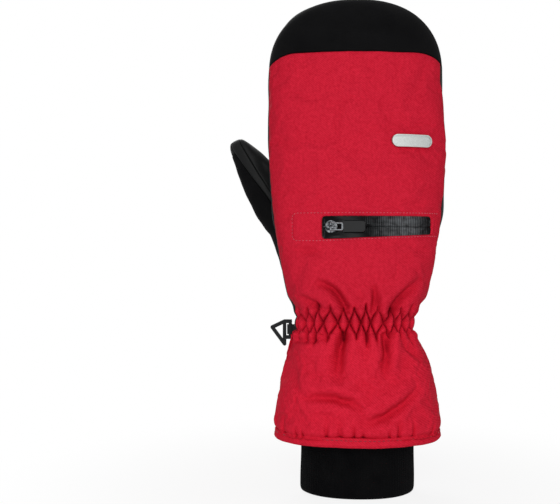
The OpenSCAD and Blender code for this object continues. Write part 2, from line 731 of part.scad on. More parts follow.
module pull_frame() {
    arm_z = (eye_w - wire_d) / 2;
    color(grey) on_zip(slider_a, wire_r) {
        for (x = [0, eye_len])
            translate([x, 0, -arm_z]) cylinder(d = wire_d, h = 2 * arm_z);
        for (z = [-arm_z, arm_z]) {
            translate([0, 0, z]) rotate([0, 90, 0]) cylinder(d = wire_d, h = eye_len);
            for (x = [0, eye_len]) translate([x, 0, z]) sphere(d = wire_d);
        }
        translate([eye_len, -stem_t / 2, -stem_w / 2]) cube([stem_len, stem_t, stem_w]);
    }
}

module pull_tab() {
    start = eye_len + wire_d / 2 + seam_gap;
    corner = 2.2;
    slot = stem_len - wire_d / 2 - seam_gap + stem_gap;
    color("#26282a") on_zip(slider_a, wire_r) difference() {
        translate([start, tab_t / 2, 0]) rotate([90, 0, 0]) linear_extrude(tab_t) {
            translate([0, corner - tab_w / 2]) square([tab_len, tab_w - 2 * corner]);
            translate([0, -tab_w / 2]) square([tab_len - corner, tab_w]);
            for (z = [-1, 1])
                translate([tab_len - corner, z * (tab_w / 2 - corner)]) circle(r = corner);
        }
        translate([start - 1, -stem_t / 2 - stem_gap, -stem_w / 2 - stem_gap])
            cube([slot + 1, stem_t + 2 * stem_gap, stem_w + 2 * stem_gap]);
    }
}

// Pocket bag: the back wall of the pocket, hung from the lower tape
module pocket_bag() {
    top = zip_edge_z - 2 * seam_gap;
    rows = steps([top - bag_h, top], [5]);
    angles = steps([across(zip_left - 2, zip_z), across(zip_right + 1, zip_z)], [9]);
    face = function (a, z) bag_in;
    depth = function (a, z) bag_in + bag_t;
    color(black) hand_half(rows, angles, BACK, face, depth);
}

// Badge: a curved pill-shaped plate with a raised rim
badge_hw = hand_hw(badge_z);
badge_hd = half_depth(badge_z, BACK);
badge_pt = hand_pt(badge_x, badge_z, BACK, 0);
badge_tilt = atan2(badge_x / pow(badge_hw, 2), -badge_pt[1] / pow(badge_hd, 2));
badge_slope = norm([badge_x / pow(badge_hw, 2), badge_pt[1] / pow(badge_hd, 2)]);
badge_r = pow(badge_hw * badge_hd, 2) * pow(badge_slope, 3);

module badge_layer(w, h, low, high) {
    sweep = asin(w / 2 / badge_r) + 2;
    intersection() {
        translate([0, badge_r, 0]) rotate([0, 0, -90 - sweep]) rotate_extrude(angle = 2 * sweep, $fn = 180)
            translate([badge_r + low, -h]) square([high - low, 2 * h]);
        translate([0, h, 0]) rotate([90, 0, 0]) linear_extrude(2 * h) {
            square([w - h, h], center = true);
            for (x = [-1, 1]) translate([x * (w - h) / 2, 0]) circle(d = h);
        }
    }
}

module badge() {
    seat = 2 * layer_gap;
    color("#d6d8d6") translate(badge_pt) rotate([0, 0, badge_tilt]) {
        badge_layer(badge_w, badge_h, seat, seat + badge_t);
        difference() {
            badge_layer(badge_w, badge_h, seat + badge_t / 2, seat + badge_t + badge_rim_t);
            badge_layer(badge_w - 2 * badge_rim_w, badge_h - 2 * badge_rim_w,
                seat, seat + badge_t + 2 * badge_rim_t);
        }
    }
}

// Webbing loop in the thumb-side seam, and the clip that turns in it
hook_x = -wrist_w / 2 - hook_reach;
hook_z = wrist_z - hook_drop;
hook_tail = 3.5;
hook_point_z = 1.5;
hook_bore = hook_bar_d / 2 + hook_gap;

module hook_loop() {
    low = hook_z - loop_h / 2;
    seam_x = -gauntlet_hw(low) - seam_gap;
    color("#17181a") translate([hook_x, 0, low]) linear_extrude(loop_h) difference() {
        union() {
            circle(r = hook_bore + loop_t);
            translate([0, -loop_t]) square([seam_x - hook_x, 2 * loop_t]);
        }
        circle(r = hook_bore);
    }
}

// Straight bar of the clip's frame between two places
module strut(from, to) {
    run = to - from;
    translate([from[0], hook_t / 2, from[1]]) rotate([90, 0, 0]) linear_extrude(hook_t) {
        rotate([0, 0, atan2(run[1], run[0])])
            translate([0, -hook_frame_w / 2]) square([norm(run), hook_frame_w]);
        circle(d = hook_frame_w);
        translate(run) circle(d = hook_frame_w);
    }
}

module pairing_hook() {
    half = hook_bar_len / 2;
    inner_x = -hook_bore - loop_t - 2 * hook_gap - hook_frame_w / 2;
    lug_z = half - hook_frame_w / 2;
    point = [-hook_len, hook_point_z];
    tail = [inner_x, -half - hook_tail];
    color(black) translate([hook_x, 0, hook_z]) {
        translate([0, 0, -half]) cylinder(d = hook_bar_d, h = hook_bar_len);
        for (z = [-lug_z, lug_z]) strut([inner_x, z], [0, z]);
        strut([inner_x, tail[1]], [inner_x, lug_z]);
        strut([inner_x, lug_z], point);
        strut(point, tail);
    }
}

back_panel();
fingertip_cap();
finger_wall_thumb_side();
finger_wall_pinky_side();
palm_upper();
palm_lower();
gauntlet_back();
gauntlet_palm();
gauntlet_lining();
cuff_hem();
wrist_elastic();
knit_cuff();
insulation_back();
insulation_palm();
hand_lining();
thumb_sleeve();
thumb_outer_panel();
thumb_inner_panel();
thumb_gusset();
thumb_insulation();
thumb_lining();
pocket_bag();
zipper_tape_upper();
zipper_tape_lower();
zipper_coil_upper();
zipper_coil_lower();
zipper_stops();
zipper_slider();
pull_frame();
pull_tab();
badge();
hook_loop();
pairing_hook();
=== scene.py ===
"""Looks of the ski mitten: padded panels, gathers, thumb, zip, knit cuff and studio.

Shapes are worked out in millimetres on the part's own surfaces and made into meshes in metres.
+Z runs to the fingertips, -Y is the back of the hand, +Y the palm, and the thumb points to -X.
A panel is a grid of points, rows by columns, that becomes a closed skin with rolled seams.
"""

import math

import bmesh
import bpy
import numpy as np
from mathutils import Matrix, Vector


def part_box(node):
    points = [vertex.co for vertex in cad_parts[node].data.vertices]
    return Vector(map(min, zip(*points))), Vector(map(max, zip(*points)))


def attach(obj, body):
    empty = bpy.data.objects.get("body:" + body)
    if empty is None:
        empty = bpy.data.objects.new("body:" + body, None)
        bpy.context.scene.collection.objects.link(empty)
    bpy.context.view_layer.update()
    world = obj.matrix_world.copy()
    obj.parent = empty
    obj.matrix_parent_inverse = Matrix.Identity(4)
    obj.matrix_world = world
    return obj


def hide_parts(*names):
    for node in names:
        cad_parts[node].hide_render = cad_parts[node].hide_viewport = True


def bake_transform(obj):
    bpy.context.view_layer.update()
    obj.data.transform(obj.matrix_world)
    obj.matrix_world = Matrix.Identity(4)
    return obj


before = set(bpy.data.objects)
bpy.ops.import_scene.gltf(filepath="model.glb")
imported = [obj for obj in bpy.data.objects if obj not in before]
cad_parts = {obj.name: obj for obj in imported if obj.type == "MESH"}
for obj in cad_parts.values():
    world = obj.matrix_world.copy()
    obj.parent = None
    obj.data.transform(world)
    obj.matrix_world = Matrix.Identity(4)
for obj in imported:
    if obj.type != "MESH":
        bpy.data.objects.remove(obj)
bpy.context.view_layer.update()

MM = 0.001
BACK, PALM = -1, 1
QUARTER, WHOLE = math.pi / 2, 2 * math.pi


# Sizes taken from the frame, in millimetres

def node_box(node):
    return [np.array(corner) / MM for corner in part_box(node)]


back_low, back_high = node_box("back_panel")
hem_low, hem_high = node_box("cuff_hem")
badge_low, badge_high = node_box("badge")
cap_seam_z, mitten_h = [corner[2] for corner in node_box("fingertip_cap")]
palm_seam_z = node_box("palm_upper")[0][2]
knit_hw, knit_hd = node_box("knit_cuff")[1][:2]
hand_w = back_high[0] - back_low[0]
wrist_z = back_low[2]
hem_lip = 2
hem_z, hem_top = hem_low[2], hem_high[2] - hem_lip
hem_hw, hem_hd = hem_high[:2]

# Sizes of the surfaces, as in the part

knuckle_z = 255
arch_h = 54
arch_z = mitten_h - arch_h
arch_w = hand_w / 2
wrist_w, wrist_d = 84, 60
back_d, palm_d, tip_drop = 30, 28, 4
wall_w, wall_tip_h = 6.5, 14.5
palm_arch_w, palm_arch_h = arch_w - wall_w, arch_h - wall_tip_h
open_power, arch_power, flare_power = 0.7, 2.3, 0.8
fullness = 2.35
zip_z, zip_left, zip_right = 188.5, -26, 48

# Sizes of the looks

band_z, band_half, band_run = 122.5, 8.8, 16
band_hw, band_hd = 42.2, 30
flare_z = band_z - 8
hem_in = 0.5
padded_t, trim_t = 1.6, 1.4
slim_share, slim_from, slim_run = 0.041, 237, 55
waist_share, waist_z, waist_run = 0.083, 116, 14
bulge_z = 204


# Small helpers

def share(t):
    return np.clip(t, 0, 1)


def ease(t):
    t = share(t)
    return t * t * (3 - 2 * t)


def lerp(a, b, t):
    return a + (b - a) * t


def bump(value, middle, width):
    """A smooth hill of height 1."""
    return np.exp(-((value - middle) / width) ** 2)


def falling(value, start, width):
    """1 up to a start, and a smooth fall to 0 beyond it."""
    return bump(np.maximum(0, value - start), 0, width)


def round_off(t, power):
    """Falls from 1 to 0 on a rounded quarter as t goes from 0 to 1."""
    return np.maximum(0, 1 - t ** power) ** (1 / power)


def ripple(t, length, phase=0):
    return np.sin(WHOLE * t / length + phase)


def unit(v):
    return v / np.maximum(np.linalg.norm(v, axis=-1, keepdims=True), 1e-9)


def waves(x, z, length, seed):
    """Smooth seeded noise of about unit height over a plane, with waves of about one length."""
    rng = np.random.default_rng(seed)
    total = np.zeros(np.broadcast(x, z).shape)
    count = 10
    for _ in range(count):
        angle, phase = rng.uniform(0, WHOLE, 2)
        k = WHOLE / (length * rng.uniform(0.7, 1.5))
        total = total + np.cos(k * (np.cos(angle) * x + np.sin(angle) * z) + phase)
    return total / math.sqrt(count / 2)


SEAM_STEPS = np.array([0, 0.12, 0.35, 0.75, 1.3])
seam_clear = 1.6


def spaced(length, pitch, low=True, high=True):
    """Shares from 0 to 1, an even pitch apart, with closer steps at an end that is a seam."""
    even = np.linspace(0, length, max(3, round(length / pitch) + 1))
    keep = (even > (seam_clear if low else -1)) & (even < length - (seam_clear if high else -1))
    parts = [SEAM_STEPS] * low + [even[keep]] + [length - SEAM_STEPS[::-1]] * high
    return np.concatenate(parts) / length


# Paths

def lengths(path):
    """Distance of each point along a polyline."""
    return np.cumsum(np.linalg.norm(np.diff(path, axis=0, prepend=path[:1]), axis=1))


def columns_at(at, where, path):
    """Values of a path's columns at distances along it."""
    return np.stack([np.interp(at, where, column) for column in path.T], -1)


def along_path(path, step):
    """Points an even step apart on a polyline."""
    where = lengths(path)
    return columns_at(np.arange(0, where[-1] + step / 2, step), where, path)


def spline(a, b, c, d, f):
    """The smooth curve from b to c at a share f, where a and d are the points before and after."""
    square, cube = 2 * a - 5 * b + 4 * c - d, 3 * b - a - 3 * c + d
    return (2 * b + (c - a) * f + square * f ** 2 + cube * f ** 3) / 2


def smooth_path(points, count=40):
    """A smooth curve through a few points."""
    p = np.asarray(points, float)
    p = np.concatenate([[2 * p[0] - p[1]], p, [2 * p[-1] - p[-2]]])
    t = np.linspace(0, len(points) - 1 - 1e-9, count)
    i = t.astype(int)
    return spline(p[i], p[i + 1], p[i + 2], p[i + 3], (t - i)[:, None])


# Surfaces of the hand

def hand_hw(z):
    rise = np.sin(QUARTER * share((z - wrist_z) / (knuckle_z - wrist_z)))
    return lerp(wrist_w, hand_w, rise ** open_power) / 2


def arch_hw(z, width, height):
    return width * round_off(share((z - arch_z) / height), arch_power)


def outline_hw(z):
    return np.where(z <= arch_z, hand_hw(z), arch_hw(z, arch_w, arch_h))


def palm_hw(z):
    return np.where(z <= arch_z, hand_hw(z) - wall_w, arch_hw(z, palm_arch_w, palm_arch_h))


def half_depth(z, side):
    middle = (wrist_z + knuckle_z) / 2
    full = back_d if side == BACK else palm_d
    grown = lerp(wrist_d / 2, full, ease((z - wrist_z) / (middle - wrist_z)))
    return grown - tip_drop * ease((z - middle) / (arch_z - middle))


def nearness(x, z):
    """0 on the middle line, 1 on the outline."""
    low = np.abs(x) / hand_hw(z)
    over = np.maximum(0, z - arch_z) / arch_h
    high = ((np.abs(x) / arch_w) ** arch_power + over ** arch_power) ** (1 / arch_power)
    return np.minimum(1, np.where(z <= arch_z, low, high))


def hand_at(x, z, side, power=fullness):
    """Points on the hand's back or palm above (x, z)."""
    x, z = np.broadcast_arrays(np.asarray(x, float), np.asarray(z, float))
    y = side * half_depth(np.minimum(z, arch_z), side) * round_off(nearness(x, z), power)
    return np.stack([x, y, z], -1)


def hand_normals(p, side):
    """Outward normals of the hand's back or palm at points."""
    x, z, step = p[..., 0], p[..., 2], 0.05
    along = hand_at(x + step, z, side) - hand_at(x - step, z, side)
    up = hand_at(x, z + step, side) - hand_at(x, z - step, side)
    return unit(np.cross(along, up)) * -side


# The wrist: an elastic band draws the shell in, and the gauntlet flares below it

def flare(z):
    """How far the gauntlet has widened: 0 under the band, 1 at the hem."""
    return np.sin(QUARTER * share((flare_z - z) / (flare_z - hem_z))) ** flare_power


def shell_hw(z):
    hand = np.maximum(hand_hw(np.maximum(z, wrist_z + 2)), band_hw)
    above = lerp(band_hw, hand, ease((z - band_z - 2) / band_run))
    return np.where(z < flare_z, lerp(band_hw, hem_hw - hem_in, flare(z)), above)


def shell_hd(z, side):
    above = lerp(band_hd, half_depth(np.maximum(z, wrist_z), side), ease((z - band_z) / band_run))
    return np.where(z < flare_z, lerp(band_hd, hem_hd - hem_in, flare(z)), above)


def shell_at(turn, z, side):
    """Points of the shell at a turn from the middle line (radians, +X positive), at any height."""
    turn, z = np.broadcast_arrays(np.asarray(turn, float), np.asarray(z, float))
    sine = np.sin(turn)
    y = side * shell_hd(z, side) * round_off(np.abs(sine), fullness)
    low = np.stack([shell_hw(z) * sine, y, z], -1)
    high = hand_at(outline_hw(z) * sine, z, side)
    return lerp(low, high, ease((z - band_z - 12) / 20)[..., None])


ring_turn = np.linspace(-math.pi, math.pi, 720)
ring_step = np.hypot(band_hw * np.sin(ring_turn), band_hd * np.cos(ring_turn))
ring_share = np.concatenate([[0], np.cumsum((ring_step[1:] + ring_step[:-1]) / 2)])
ring_share = ring_share / ring_share[-1]


def round_share(p, half_w, half_d):
    """Share of the way round the wrist at points, even along the elastic."""
    return np.interp(np.arctan2(p[..., 1] / half_d, p[..., 0] / half_w), ring_turn, ring_share)


gather_count, gather_depth, gather_drop = 28, 7.6, 5.5


def gather(p):
    """Outward height of the wrist's gathers: two crossing sets of folds, with waves running out."""
    t = gather_count * round_share(p, band_hw, band_hd)
    t = t + 0.1 * ripple(t, 3.7, 1) + 0.06 * ripple(t, 2.3, 4)
    lean = 0.08 * ripple(t, 5.3)
    high = p[..., 2] - band_z + gather_drop / 2 * (1 + np.clip(p[..., 1] / band_hd, -1, 1))
    v = np.clip(high / band_half, -1, 1)
    one_way = np.abs(np.sin(math.pi * (t + (0.5 + lean) * v)))
    other_way = np.abs(np.sin(math.pi * (t - (0.5 - lean) * v)))
    pillow = (one_way * other_way) ** 0.25
    beyond = np.maximum(np.abs(high) - band_half, 0)
    reach = 3 + 1.8 * ripple(t, 4.1, 2) + np.where(high > 0, 0, 1.2)
    height = gather_depth * (pillow - 0.7) * bump(beyond, 0, reach)
    wide = np.cos(WHOLE * t / 2.9 + 0.7) + 0.6 * np.cos(WHOLE * t / 4.7 + 2)
    fade = (1 - bump(beyond, 0, 6)) * np.exp(-beyond / np.where(high > 0, 13, 16))
    return height + 1.15 * wide * fade


# Meshes

def grid_faces(rows, cols, wrap=False):
    index = np.arange(rows * cols).reshape(rows, cols)
    if wrap:
        index = np.concatenate([index, index[:, :1]], 1)
    corners = [index[:-1, :-1], index[:-1, 1:], index[1:, 1:], index[1:, :-1]]
    return np.stack(corners, -1).reshape(-1, 4)


def grid_normals(p, wrap=False):
    """Unit normals of a grid, outwards where columns and rows turn as X and Z on the back."""
    along = np.roll(p, -1, 1) - np.roll(p, 1, 1) if wrap else np.gradient(p, axis=1)
    return unit(np.cross(along, np.gradient(p, axis=0)))


def raised(p, height, wrap=False):
    return p + grid_normals(p, wrap) * np.asarray(height)[..., None]


def edge_distance(p, sides):
    """Distance of each grid point, along the grid, from the nearest named side: l, r, b or t."""
    along = np.cumsum(np.linalg.norm(np.diff(p, axis=1, prepend=p[:, :1]), axis=-1), 1)
    up = np.cumsum(np.linalg.norm(np.diff(p, axis=0, prepend=p[:1]), axis=-1), 0)
    found = {"l": along, "r": along[:, -1:] - along, "b": up, "t": up[-1:] - up}
    return np.minimum.reduce([found[s] for s in sides])


def roll_depth(distance, radius):
    """How far a rolled edge has sunk at a distance from it."""
    return radius - np.sqrt(np.maximum(0, radius ** 2 - (radius - np.clip(distance, 0, radius)) ** 2))


def rolled(p, sides, radius=1.3, normals=None):
    """The grid with its seam sides rolled inwards on a small radius."""
    normals = grid_normals(p) if normals is None else normals
    return p - normals * roll_depth(edge_distance(p, sides), radius)[..., None]


def new_object(name, verts, faces, sharp=50):
    mesh = bpy.data.meshes.new(name)
    mesh.from_pydata((np.asarray(verts) * MM).tolist(), [], [list(map(int, f)) for f in faces])
    mesh.validate()
    mesh.polygons.foreach_set("use_smooth", np.ones(len(mesh.polygons), bool))
    mesh.set_sharp_from_angle(angle=math.radians(sharp))
    mesh.update()
    obj = bpy.data.objects.new(name, mesh)
    bpy.context.scene.collection.objects.link(obj)
    return obj


def weld(obj, distance=1e-5):
    """Joins points that lie together, and drops the faces that have no area."""
    work = bmesh.new()
    work.from_mesh(obj.data)
    bmesh.ops.remove_doubles(work, verts=work.verts, dist=distance)
    bmesh.ops.dissolve_degenerate(work, edges=work.edges, dist=distance / 10)
    work.to_mesh(obj.data)
    work.free()
    return obj


def slimmed(p):
    """The points drawn in on the pinky side, which is slimmer at the wrist and the fingertips."""
    tips = slim_share * ease((p[:, 2] - slim_from) / slim_run)
    drawn = (tips + waist_share * bump(p[:, 2], waist_z, waist_run)) * (p[:, 0] > 0)
    return np.column_stack([p[:, 0] * (1 - drawn), p[:, 1:]])


def solid(name, outer, faces, normals, thick):
    """A closed skin: outer faces, the same faces moved inwards, and a rim round every border."""
    outer, normals = outer.reshape(-1, 3), normals.reshape(-1, 3)
    count = len(outer)
    verts = slimmed(np.concatenate([outer, outer - normals * thick]))
    start, end = faces.reshape(-1), np.roll(faces, -1, axis=1).reshape(-1)
    alone = ~np.isin(start * count + end, end * count + start)
    a, b = start[alone], end[alone]
    rim = np.stack([b, a, a + count, b + count], -1)
    every = np.concatenate([faces, faces[:, ::-1] + count, rim])
    used = np.unique(every)
    place = np.zeros(2 * count, int)
    place[used] = np.arange(len(used))
    return weld(new_object(name, verts[used], place[every]))


def skin(name, p, thick, seams, radius=1.3, normals=None):
    """A panel: a grid of outer points with rolled seams, given a thickness."""
    p = rolled(p, seams, radius, normals)
    normals = grid_normals(p) if normals is None else normals
    return solid(name, p, grid_faces(*p.shape[:2]), normals, thick)


def tube(name, p, height, thick):
    """A skin that closes on itself sideways, raised by a height."""
    p = raised(p, height, True)
    return solid(name, p, grid_faces(*p.shape[:2], True), grid_normals(p, True), thick)


def rod_faces(rings, sides):
    """Faces of a closed rod: rings of points, one after the other, and its two ends."""
    last = (rings - 1) * sides
    ends = [list(range(sides))[::-1], list(range(last, last + sides))]
    return grid_faces(rings, sides, True).tolist() + ends


STITCH_SIDES, STITCH_DIP = 6, 0.3
STITCH_PLACES = np.array([-1, -0.75, 0, 0.75, 1])[:, None]
STITCH_SIZES = np.array([0.25, 0.8, 1, 0.8, 0.25])[:, None, None]
STITCH_FACES = rod_faces(len(STITCH_PLACES), STITCH_SIDES)


def stitches(name, runs, length, gap, radius, lift):
    """Thread lying on a surface: each run is a list of points and their normals."""
    verts, faces = [], []
    turn = np.arange(STITCH_SIDES)[:, None] * WHOLE / STITCH_SIDES
    for points, normals in runs:
        dense = along_path(np.concatenate([points, normals], 1), 0.25)
        where = lengths(dense[:, :3])
        for at in np.arange((length + gap) / 2, where[-1] - length / 2, length + gap):
            ends = columns_at(at + np.array([-0.5, 0.5]) * length, where, dense)
            middle = ends.mean(0)
            ahead, up = unit(ends[1, :3] - ends[0, :3]), unit(middle[3:])
            around = np.cos(turn) * np.cross(ahead, up) + np.sin(turn) * up
            lifted = up * (lift - STITCH_DIP * STITCH_PLACES ** 4)
            centre = middle[:3] + ahead * STITCH_PLACES * length / 2 + lifted
            faces += [[len(verts) + i for i in face] for face in STITCH_FACES]
            verts += (centre[:, None] + radius * STITCH_SIZES * around).reshape(-1, 3).tolist()
    return new_object(name, slimmed(np.array(verts)), faces, 80)


# Cloth simulation

def draped(p, hold, growth, bending, pressure, cap, wrap=False, steps=18):
    """The grid after a cloth simulation. The fabric is cut larger than the form that it lies on, so it
    buckles between the places where it is held. hold is 1 there and small elsewhere."""
    work = new_object("cloth_work", p.reshape(-1, 3), grid_faces(*p.shape[:2], wrap))
    group = work.vertex_groups.new(name="hold")
    for i, weight in enumerate(hold.reshape(-1)):
        group.add([i], float(weight), "REPLACE")
    cloth = work.modifiers.new("cloth", "CLOTH")
    fabric = cloth.settings
    fabric.quality = 8
    fabric.mass = 0.1
    fabric.tension_stiffness = fabric.compression_stiffness = 20
    fabric.shear_stiffness = 8
    fabric.bending_stiffness = bending
    fabric.vertex_group_mass = "hold"
    fabric.shrink_min = -growth
    fabric.use_pressure = True
    fabric.uniform_pressure_force = pressure
    fabric.effector_weights.gravity = 0
    cloth.collision_settings.use_collision = False
    scene = bpy.context.scene
    for step in range(1, steps + 1):
        scene.frame_set(step)
    found = np.empty(p.size)
    evaluated = work.evaluated_get(bpy.context.evaluated_depsgraph_get())
    evaluated.data.vertices.foreach_get("co", found)
    scene.frame_set(1)
    bpy.data.objects.remove(work)
    moved = found.reshape(p.shape) / MM - p
    far = np.linalg.norm(moved, axis=-1, keepdims=True)
    return p + moved * np.minimum(1, cap / np.maximum(far, 1e-6))


def resample(grid, at, axis):
    """Smooth values of a grid at fractional indices along one axis."""
    grid = np.moveaxis(grid, axis, 0)
    i = np.clip(np.floor(at).astype(int), 0, len(grid) - 2)
    f = (at - i).reshape((-1,) + (1,) * (grid.ndim - 1))
    around = [grid[np.clip(i + k, 0, len(grid) - 1)] for k in (-1, 0, 1, 2)]
    return np.moveaxis(spline(*around, f), 0, axis)


def refined(moved, coarse_rows, coarse_cols, rows, cols):
    """A coarse grid's movement on a finer grid over the same rows and columns."""
    moved = resample(moved, np.interp(rows, coarse_rows, np.arange(len(coarse_rows))), 0)
    return resample(moved, np.interp(cols, coarse_cols, np.arange(len(coarse_cols))), 1)


# The pocket's zip window, the stitched frame round it and the badge's seat

window_hh, window_top, window_taper, frame_hh = 8.5, 7.3, 3, 9.6
window = dict(left=zip_left - 0.8, right=zip_right + 3.4, radius=2.5)
window.update(low=zip_z - window_hh, high=zip_z + window_top)
stitch_frame = dict(left=-47, right=54, low=zip_z - frame_hh, high=zip_z + frame_hh, radius=3.5)
badge_seat = dict(left=badge_low[0], right=badge_high[0], radius=4)
badge_seat.update(low=badge_low[2], high=badge_high[2])


def round_gap(x, z, left, right, low, high, radius):
    """Signed distance outside a rounded rectangle on the back."""
    qx = np.abs(x - (left + right) / 2) - (right - left) / 2 + radius
    qz = np.abs(z - (low + high) / 2) - (high - low) / 2 + radius
    outside = np.hypot(np.maximum(qx, 0), np.maximum(qz, 0))
    return outside + np.minimum(np.maximum(qx, qz), 0) - radius


def taper_at(x):
    """Rise of the window's lower edge, which climbs to the pinky side."""
    return window_taper * share((x - zip_left) / (zip_right - zip_left))


def levelled(x, z, half):
    """Heights with the window's lower edge laid level."""
    return np.where(z < zip_z, zip_z - (zip_z - z) * half / (half - taper_at(x)), z)


def window_gap(x, z):
    return round_gap(x, levelled(x, z, window_hh), **window)


def flat_gap(x, z):
    """Distance from the parts of the back that lie flat: round the zip and under the badge."""
    return np.minimum(window_gap(x, z), round_gap(x, z, **badge_seat))


def frame_gap(x, z):
    return round_gap(x, levelled(x, z, frame_hh), **stitch_frame)


# Folds: paths of (x, z), depth, width and start. A rooted one starts at full depth.

ROOTED, FREE = 0.3, 0.06

HAND_FOLDS = [
    ([(-9, 131), (-19, 145), (-31, 151)], 5.4, 2.8, ROOTED),
    ([(8, 129), (10, 140), (9, 149)], 4.4, 2.6, ROOTED),
    ([(21, 130), (30, 141), (43, 153)], 5.2, 3.2, ROOTED),
    ([(-25, 131), (-35, 137), (-44, 141)], 2.8, 2.4, ROOTED),
    ([(-57, 248), (-51, 247), (-43, 243)], 1.2, 3.7, FREE),
    ([(-54, 193), (-50, 195), (-44, 199)], 1.0, 2.4, FREE),
    ([(-46, 171), (-37, 172), (-24, 168)], 1.6, 3.3, FREE),
    ([(-56, 214), (-44, 211), (-30, 215)], 1.0, 4.4, FREE),
    ([(58, 216), (46, 214), (36, 219)], 1.0, 4.4, FREE),
    ([(54, 176), (44, 172), (34, 174)], 1.3, 3.5, FREE),
]

GAUNTLET_FOLDS = [
    ([(-12, 114), (-15, 102), (-17, 80)], 8.2, 4.2, ROOTED),
    ([(18, 114), (18, 104), (15, 84)], 7.0, 3.4, ROOTED),
    ([(-37, 72), (-15.5, 71), (1, 65)], 4.4, 3.2, FREE),
    ([(3, 55), (21.5, 63), (41, 78)], 4.2, 3.3, FREE),
    ([(-44, 108), (-28, 110.5), (-20, 113)], 1.8, 1.8, FREE),
    ([(31, 107.5), (44, 95.5)], 2.4, 2.4, FREE),
    ([(-48, 92), (-44, 80), (-40, 70)], 1.6, 3.3, FREE),
]

PALM_GAUNTLET_FOLDS = [
    ([(-18, 108), (-13.5, 84), (-14.5, 51)], 4.4, 3.4, ROOTED),
    ([(9, 108), (14, 84), (13, 51)], 4.4, 3.4, ROOTED),
    ([(-40, 104), (-34, 90), (-31, 76)], 2.3, 3.1, ROOTED),
    ([(44, 70), (32, 74), (22, 70)], 2.0, 3.3, FREE),
    ([(36, 105), (35, 92), (38, 80)], 2.2, 3.1, ROOTED),
]

PALM_FOLDS = [
    ([(22, 128), (21, 143), (22, 158)], 3.0, 3.1, ROOTED),
    ([(3, 128), (5, 139), (4, 150)], 2.0, 2.6, ROOTED),
    ([(31, 129), (34, 139), (39, 150)], 2.0, 2.9, ROOTED),
    ([(10, 236), (24, 232), (40, 236)], 1.0, 5.0, FREE),
    ([(-2, 206), (16, 202), (36, 207)], 1.2, 5.5, FREE),
]


def crease(x, z, points, depth, width, start):
    """A fold: a valley along a smooth path between two softer hills."""
    path = smooth_path(points)
    gap = np.stack([x, z], -1)[..., None, :] - path
    far = np.linalg.norm(gap, axis=-1)
    nearest = far.argmin(-1)
    d = far.min(-1)
    ahead = unit(np.gradient(path, axis=0))[nearest]
    off = np.take_along_axis(gap, nearest[..., None, None], -2)[..., 0, :]
    signed = np.where(ahead[..., 0] * off[..., 1] > ahead[..., 1] * off[..., 0], d, -d)
    fade = np.sin(math.pi * share(lerp(start, 1, nearest / (len(path) - 1)))) ** 0.7
    aside, run = 2.1 * width, 1.5 * width
    hills = 0.55 * bump(signed, aside, run) + 0.3 * bump(signed, -aside, run)
    return depth * (hills - bump(d, 0, width)) * fade


def folds_at(p, folds):
    return sum(crease(p[..., 0], p[..., 2], *fold) for fold in folds)


# Back panel: red padded fabric from the wrist's gathers to the cap's seam, which drops at its ends

corner_drop, corner_from, corner_run = 7, 45, 45


def seam_drop(x):
    return corner_drop * share((np.abs(x) - corner_from) / (arch_w - corner_from)) ** 2


def back_edge(z, pinky):
    """Turn from the middle line, in radians, at which the back panel ends on one side."""
    if pinky:
        shift = 14 * ease((z - 275) / 18) + 9 * bump(z, bulge_z, 11)
    else:
        shift = 2 * ease((z - 268) / 30)
    return np.radians(88 - shift * ease((cap_seam_z - 3.5 - z) / 4))


def back_rows():
    fine = band_z + np.arange(0, 34, 0.5)
    rows = lerp(fine[-1], cap_seam_z, spaced(cap_seam_z - fine[-1], 1.0, low=False))
    return np.concatenate([fine[:-1], rows])


def back_grid(rows, cols, to_edge=True):
    """Turn, x and z of the back's points and their distances from the window. Points just inside the
    window are moved to its edge."""
    rows = rows[:, None]
    fall = ease((rows - cap_seam_z + corner_run) / corner_run)
    side_z = rows - corner_drop * fall
    turn = lerp(-back_edge(side_z, False), back_edge(side_z, True), cols[None, :])
    z = rows - seam_drop(outline_hw(rows) * np.sin(turn)) * fall
    x = outline_hw(z) * np.sin(turn)
    gap = window_gap(x, z)
    if not to_edge:
        return turn, x, z, gap
    step, reach = 0.01, 2.6
    slope_x = (window_gap(x + step, z) - gap) / step
    slope_z = (window_gap(x, z + step) - gap) / step
    pull = np.where((gap < 0) & (gap > -reach), gap, 0) / np.maximum(slope_x ** 2 + slope_z ** 2, 0.1)
    x, z = x - slope_x * pull, z - slope_z * pull
    return np.arcsin(np.clip(x / outline_hw(z), -1, 1)), x, z, gap


def back_form(turn, x, z):
    """The back before its folds: padded, but flat round the zip and under the badge."""
    loose = np.where(z > band_z + 35, ease((flat_gap(x, z) - 2) / 16), 1)
    return lerp(hand_at(x, z, BACK, 2), shell_at(turn, z, BACK), loose[..., None])


def back_folds(p, x, z):
    free = ease((frame_gap(x, z) + 1) / 8) * ease(flat_gap(x, z) / 8) * ease((1 - nearness(x, z)) / 0.08)
    soft = 0.4 * waves(x, z, 42, 3) + 0.2 * waves(x, z, 19, 4)
    folds = folds_at(p, HAND_FOLDS) * ease((z - band_z - 1) / 7)
    return free * (soft * ease((z - band_z - 4) / 30) + folds)


def back_cloth():
    """How the cloth simulation moves a coarse grid of the back, with its rows and columns."""
    rows, cols = np.linspace(band_z, cap_seam_z, 64), np.linspace(0, 1, 56)
    turn, x, z = back_grid(rows, cols)[:3]
    p = back_form(turn, x, z)
    folds = back_folds(p, x, z)
    p = raised(p, folds)
    held = (rows[:, None] < band_z + 12) | (rows[:, None] > cap_seam_z - 2) | (frame_gap(x, z) < 1.5)
    held = held | (round_gap(x, z, **badge_seat) < 1) | (cols < 0.01) | (cols > 0.99)
    hold = np.where(held, 1, np.clip(np.abs(folds) / 1.5, 0.2, 1))
    return draped(p, hold, growth=0.007, bending=5.0, pressure=0.3, cap=1.5) - p, rows, cols


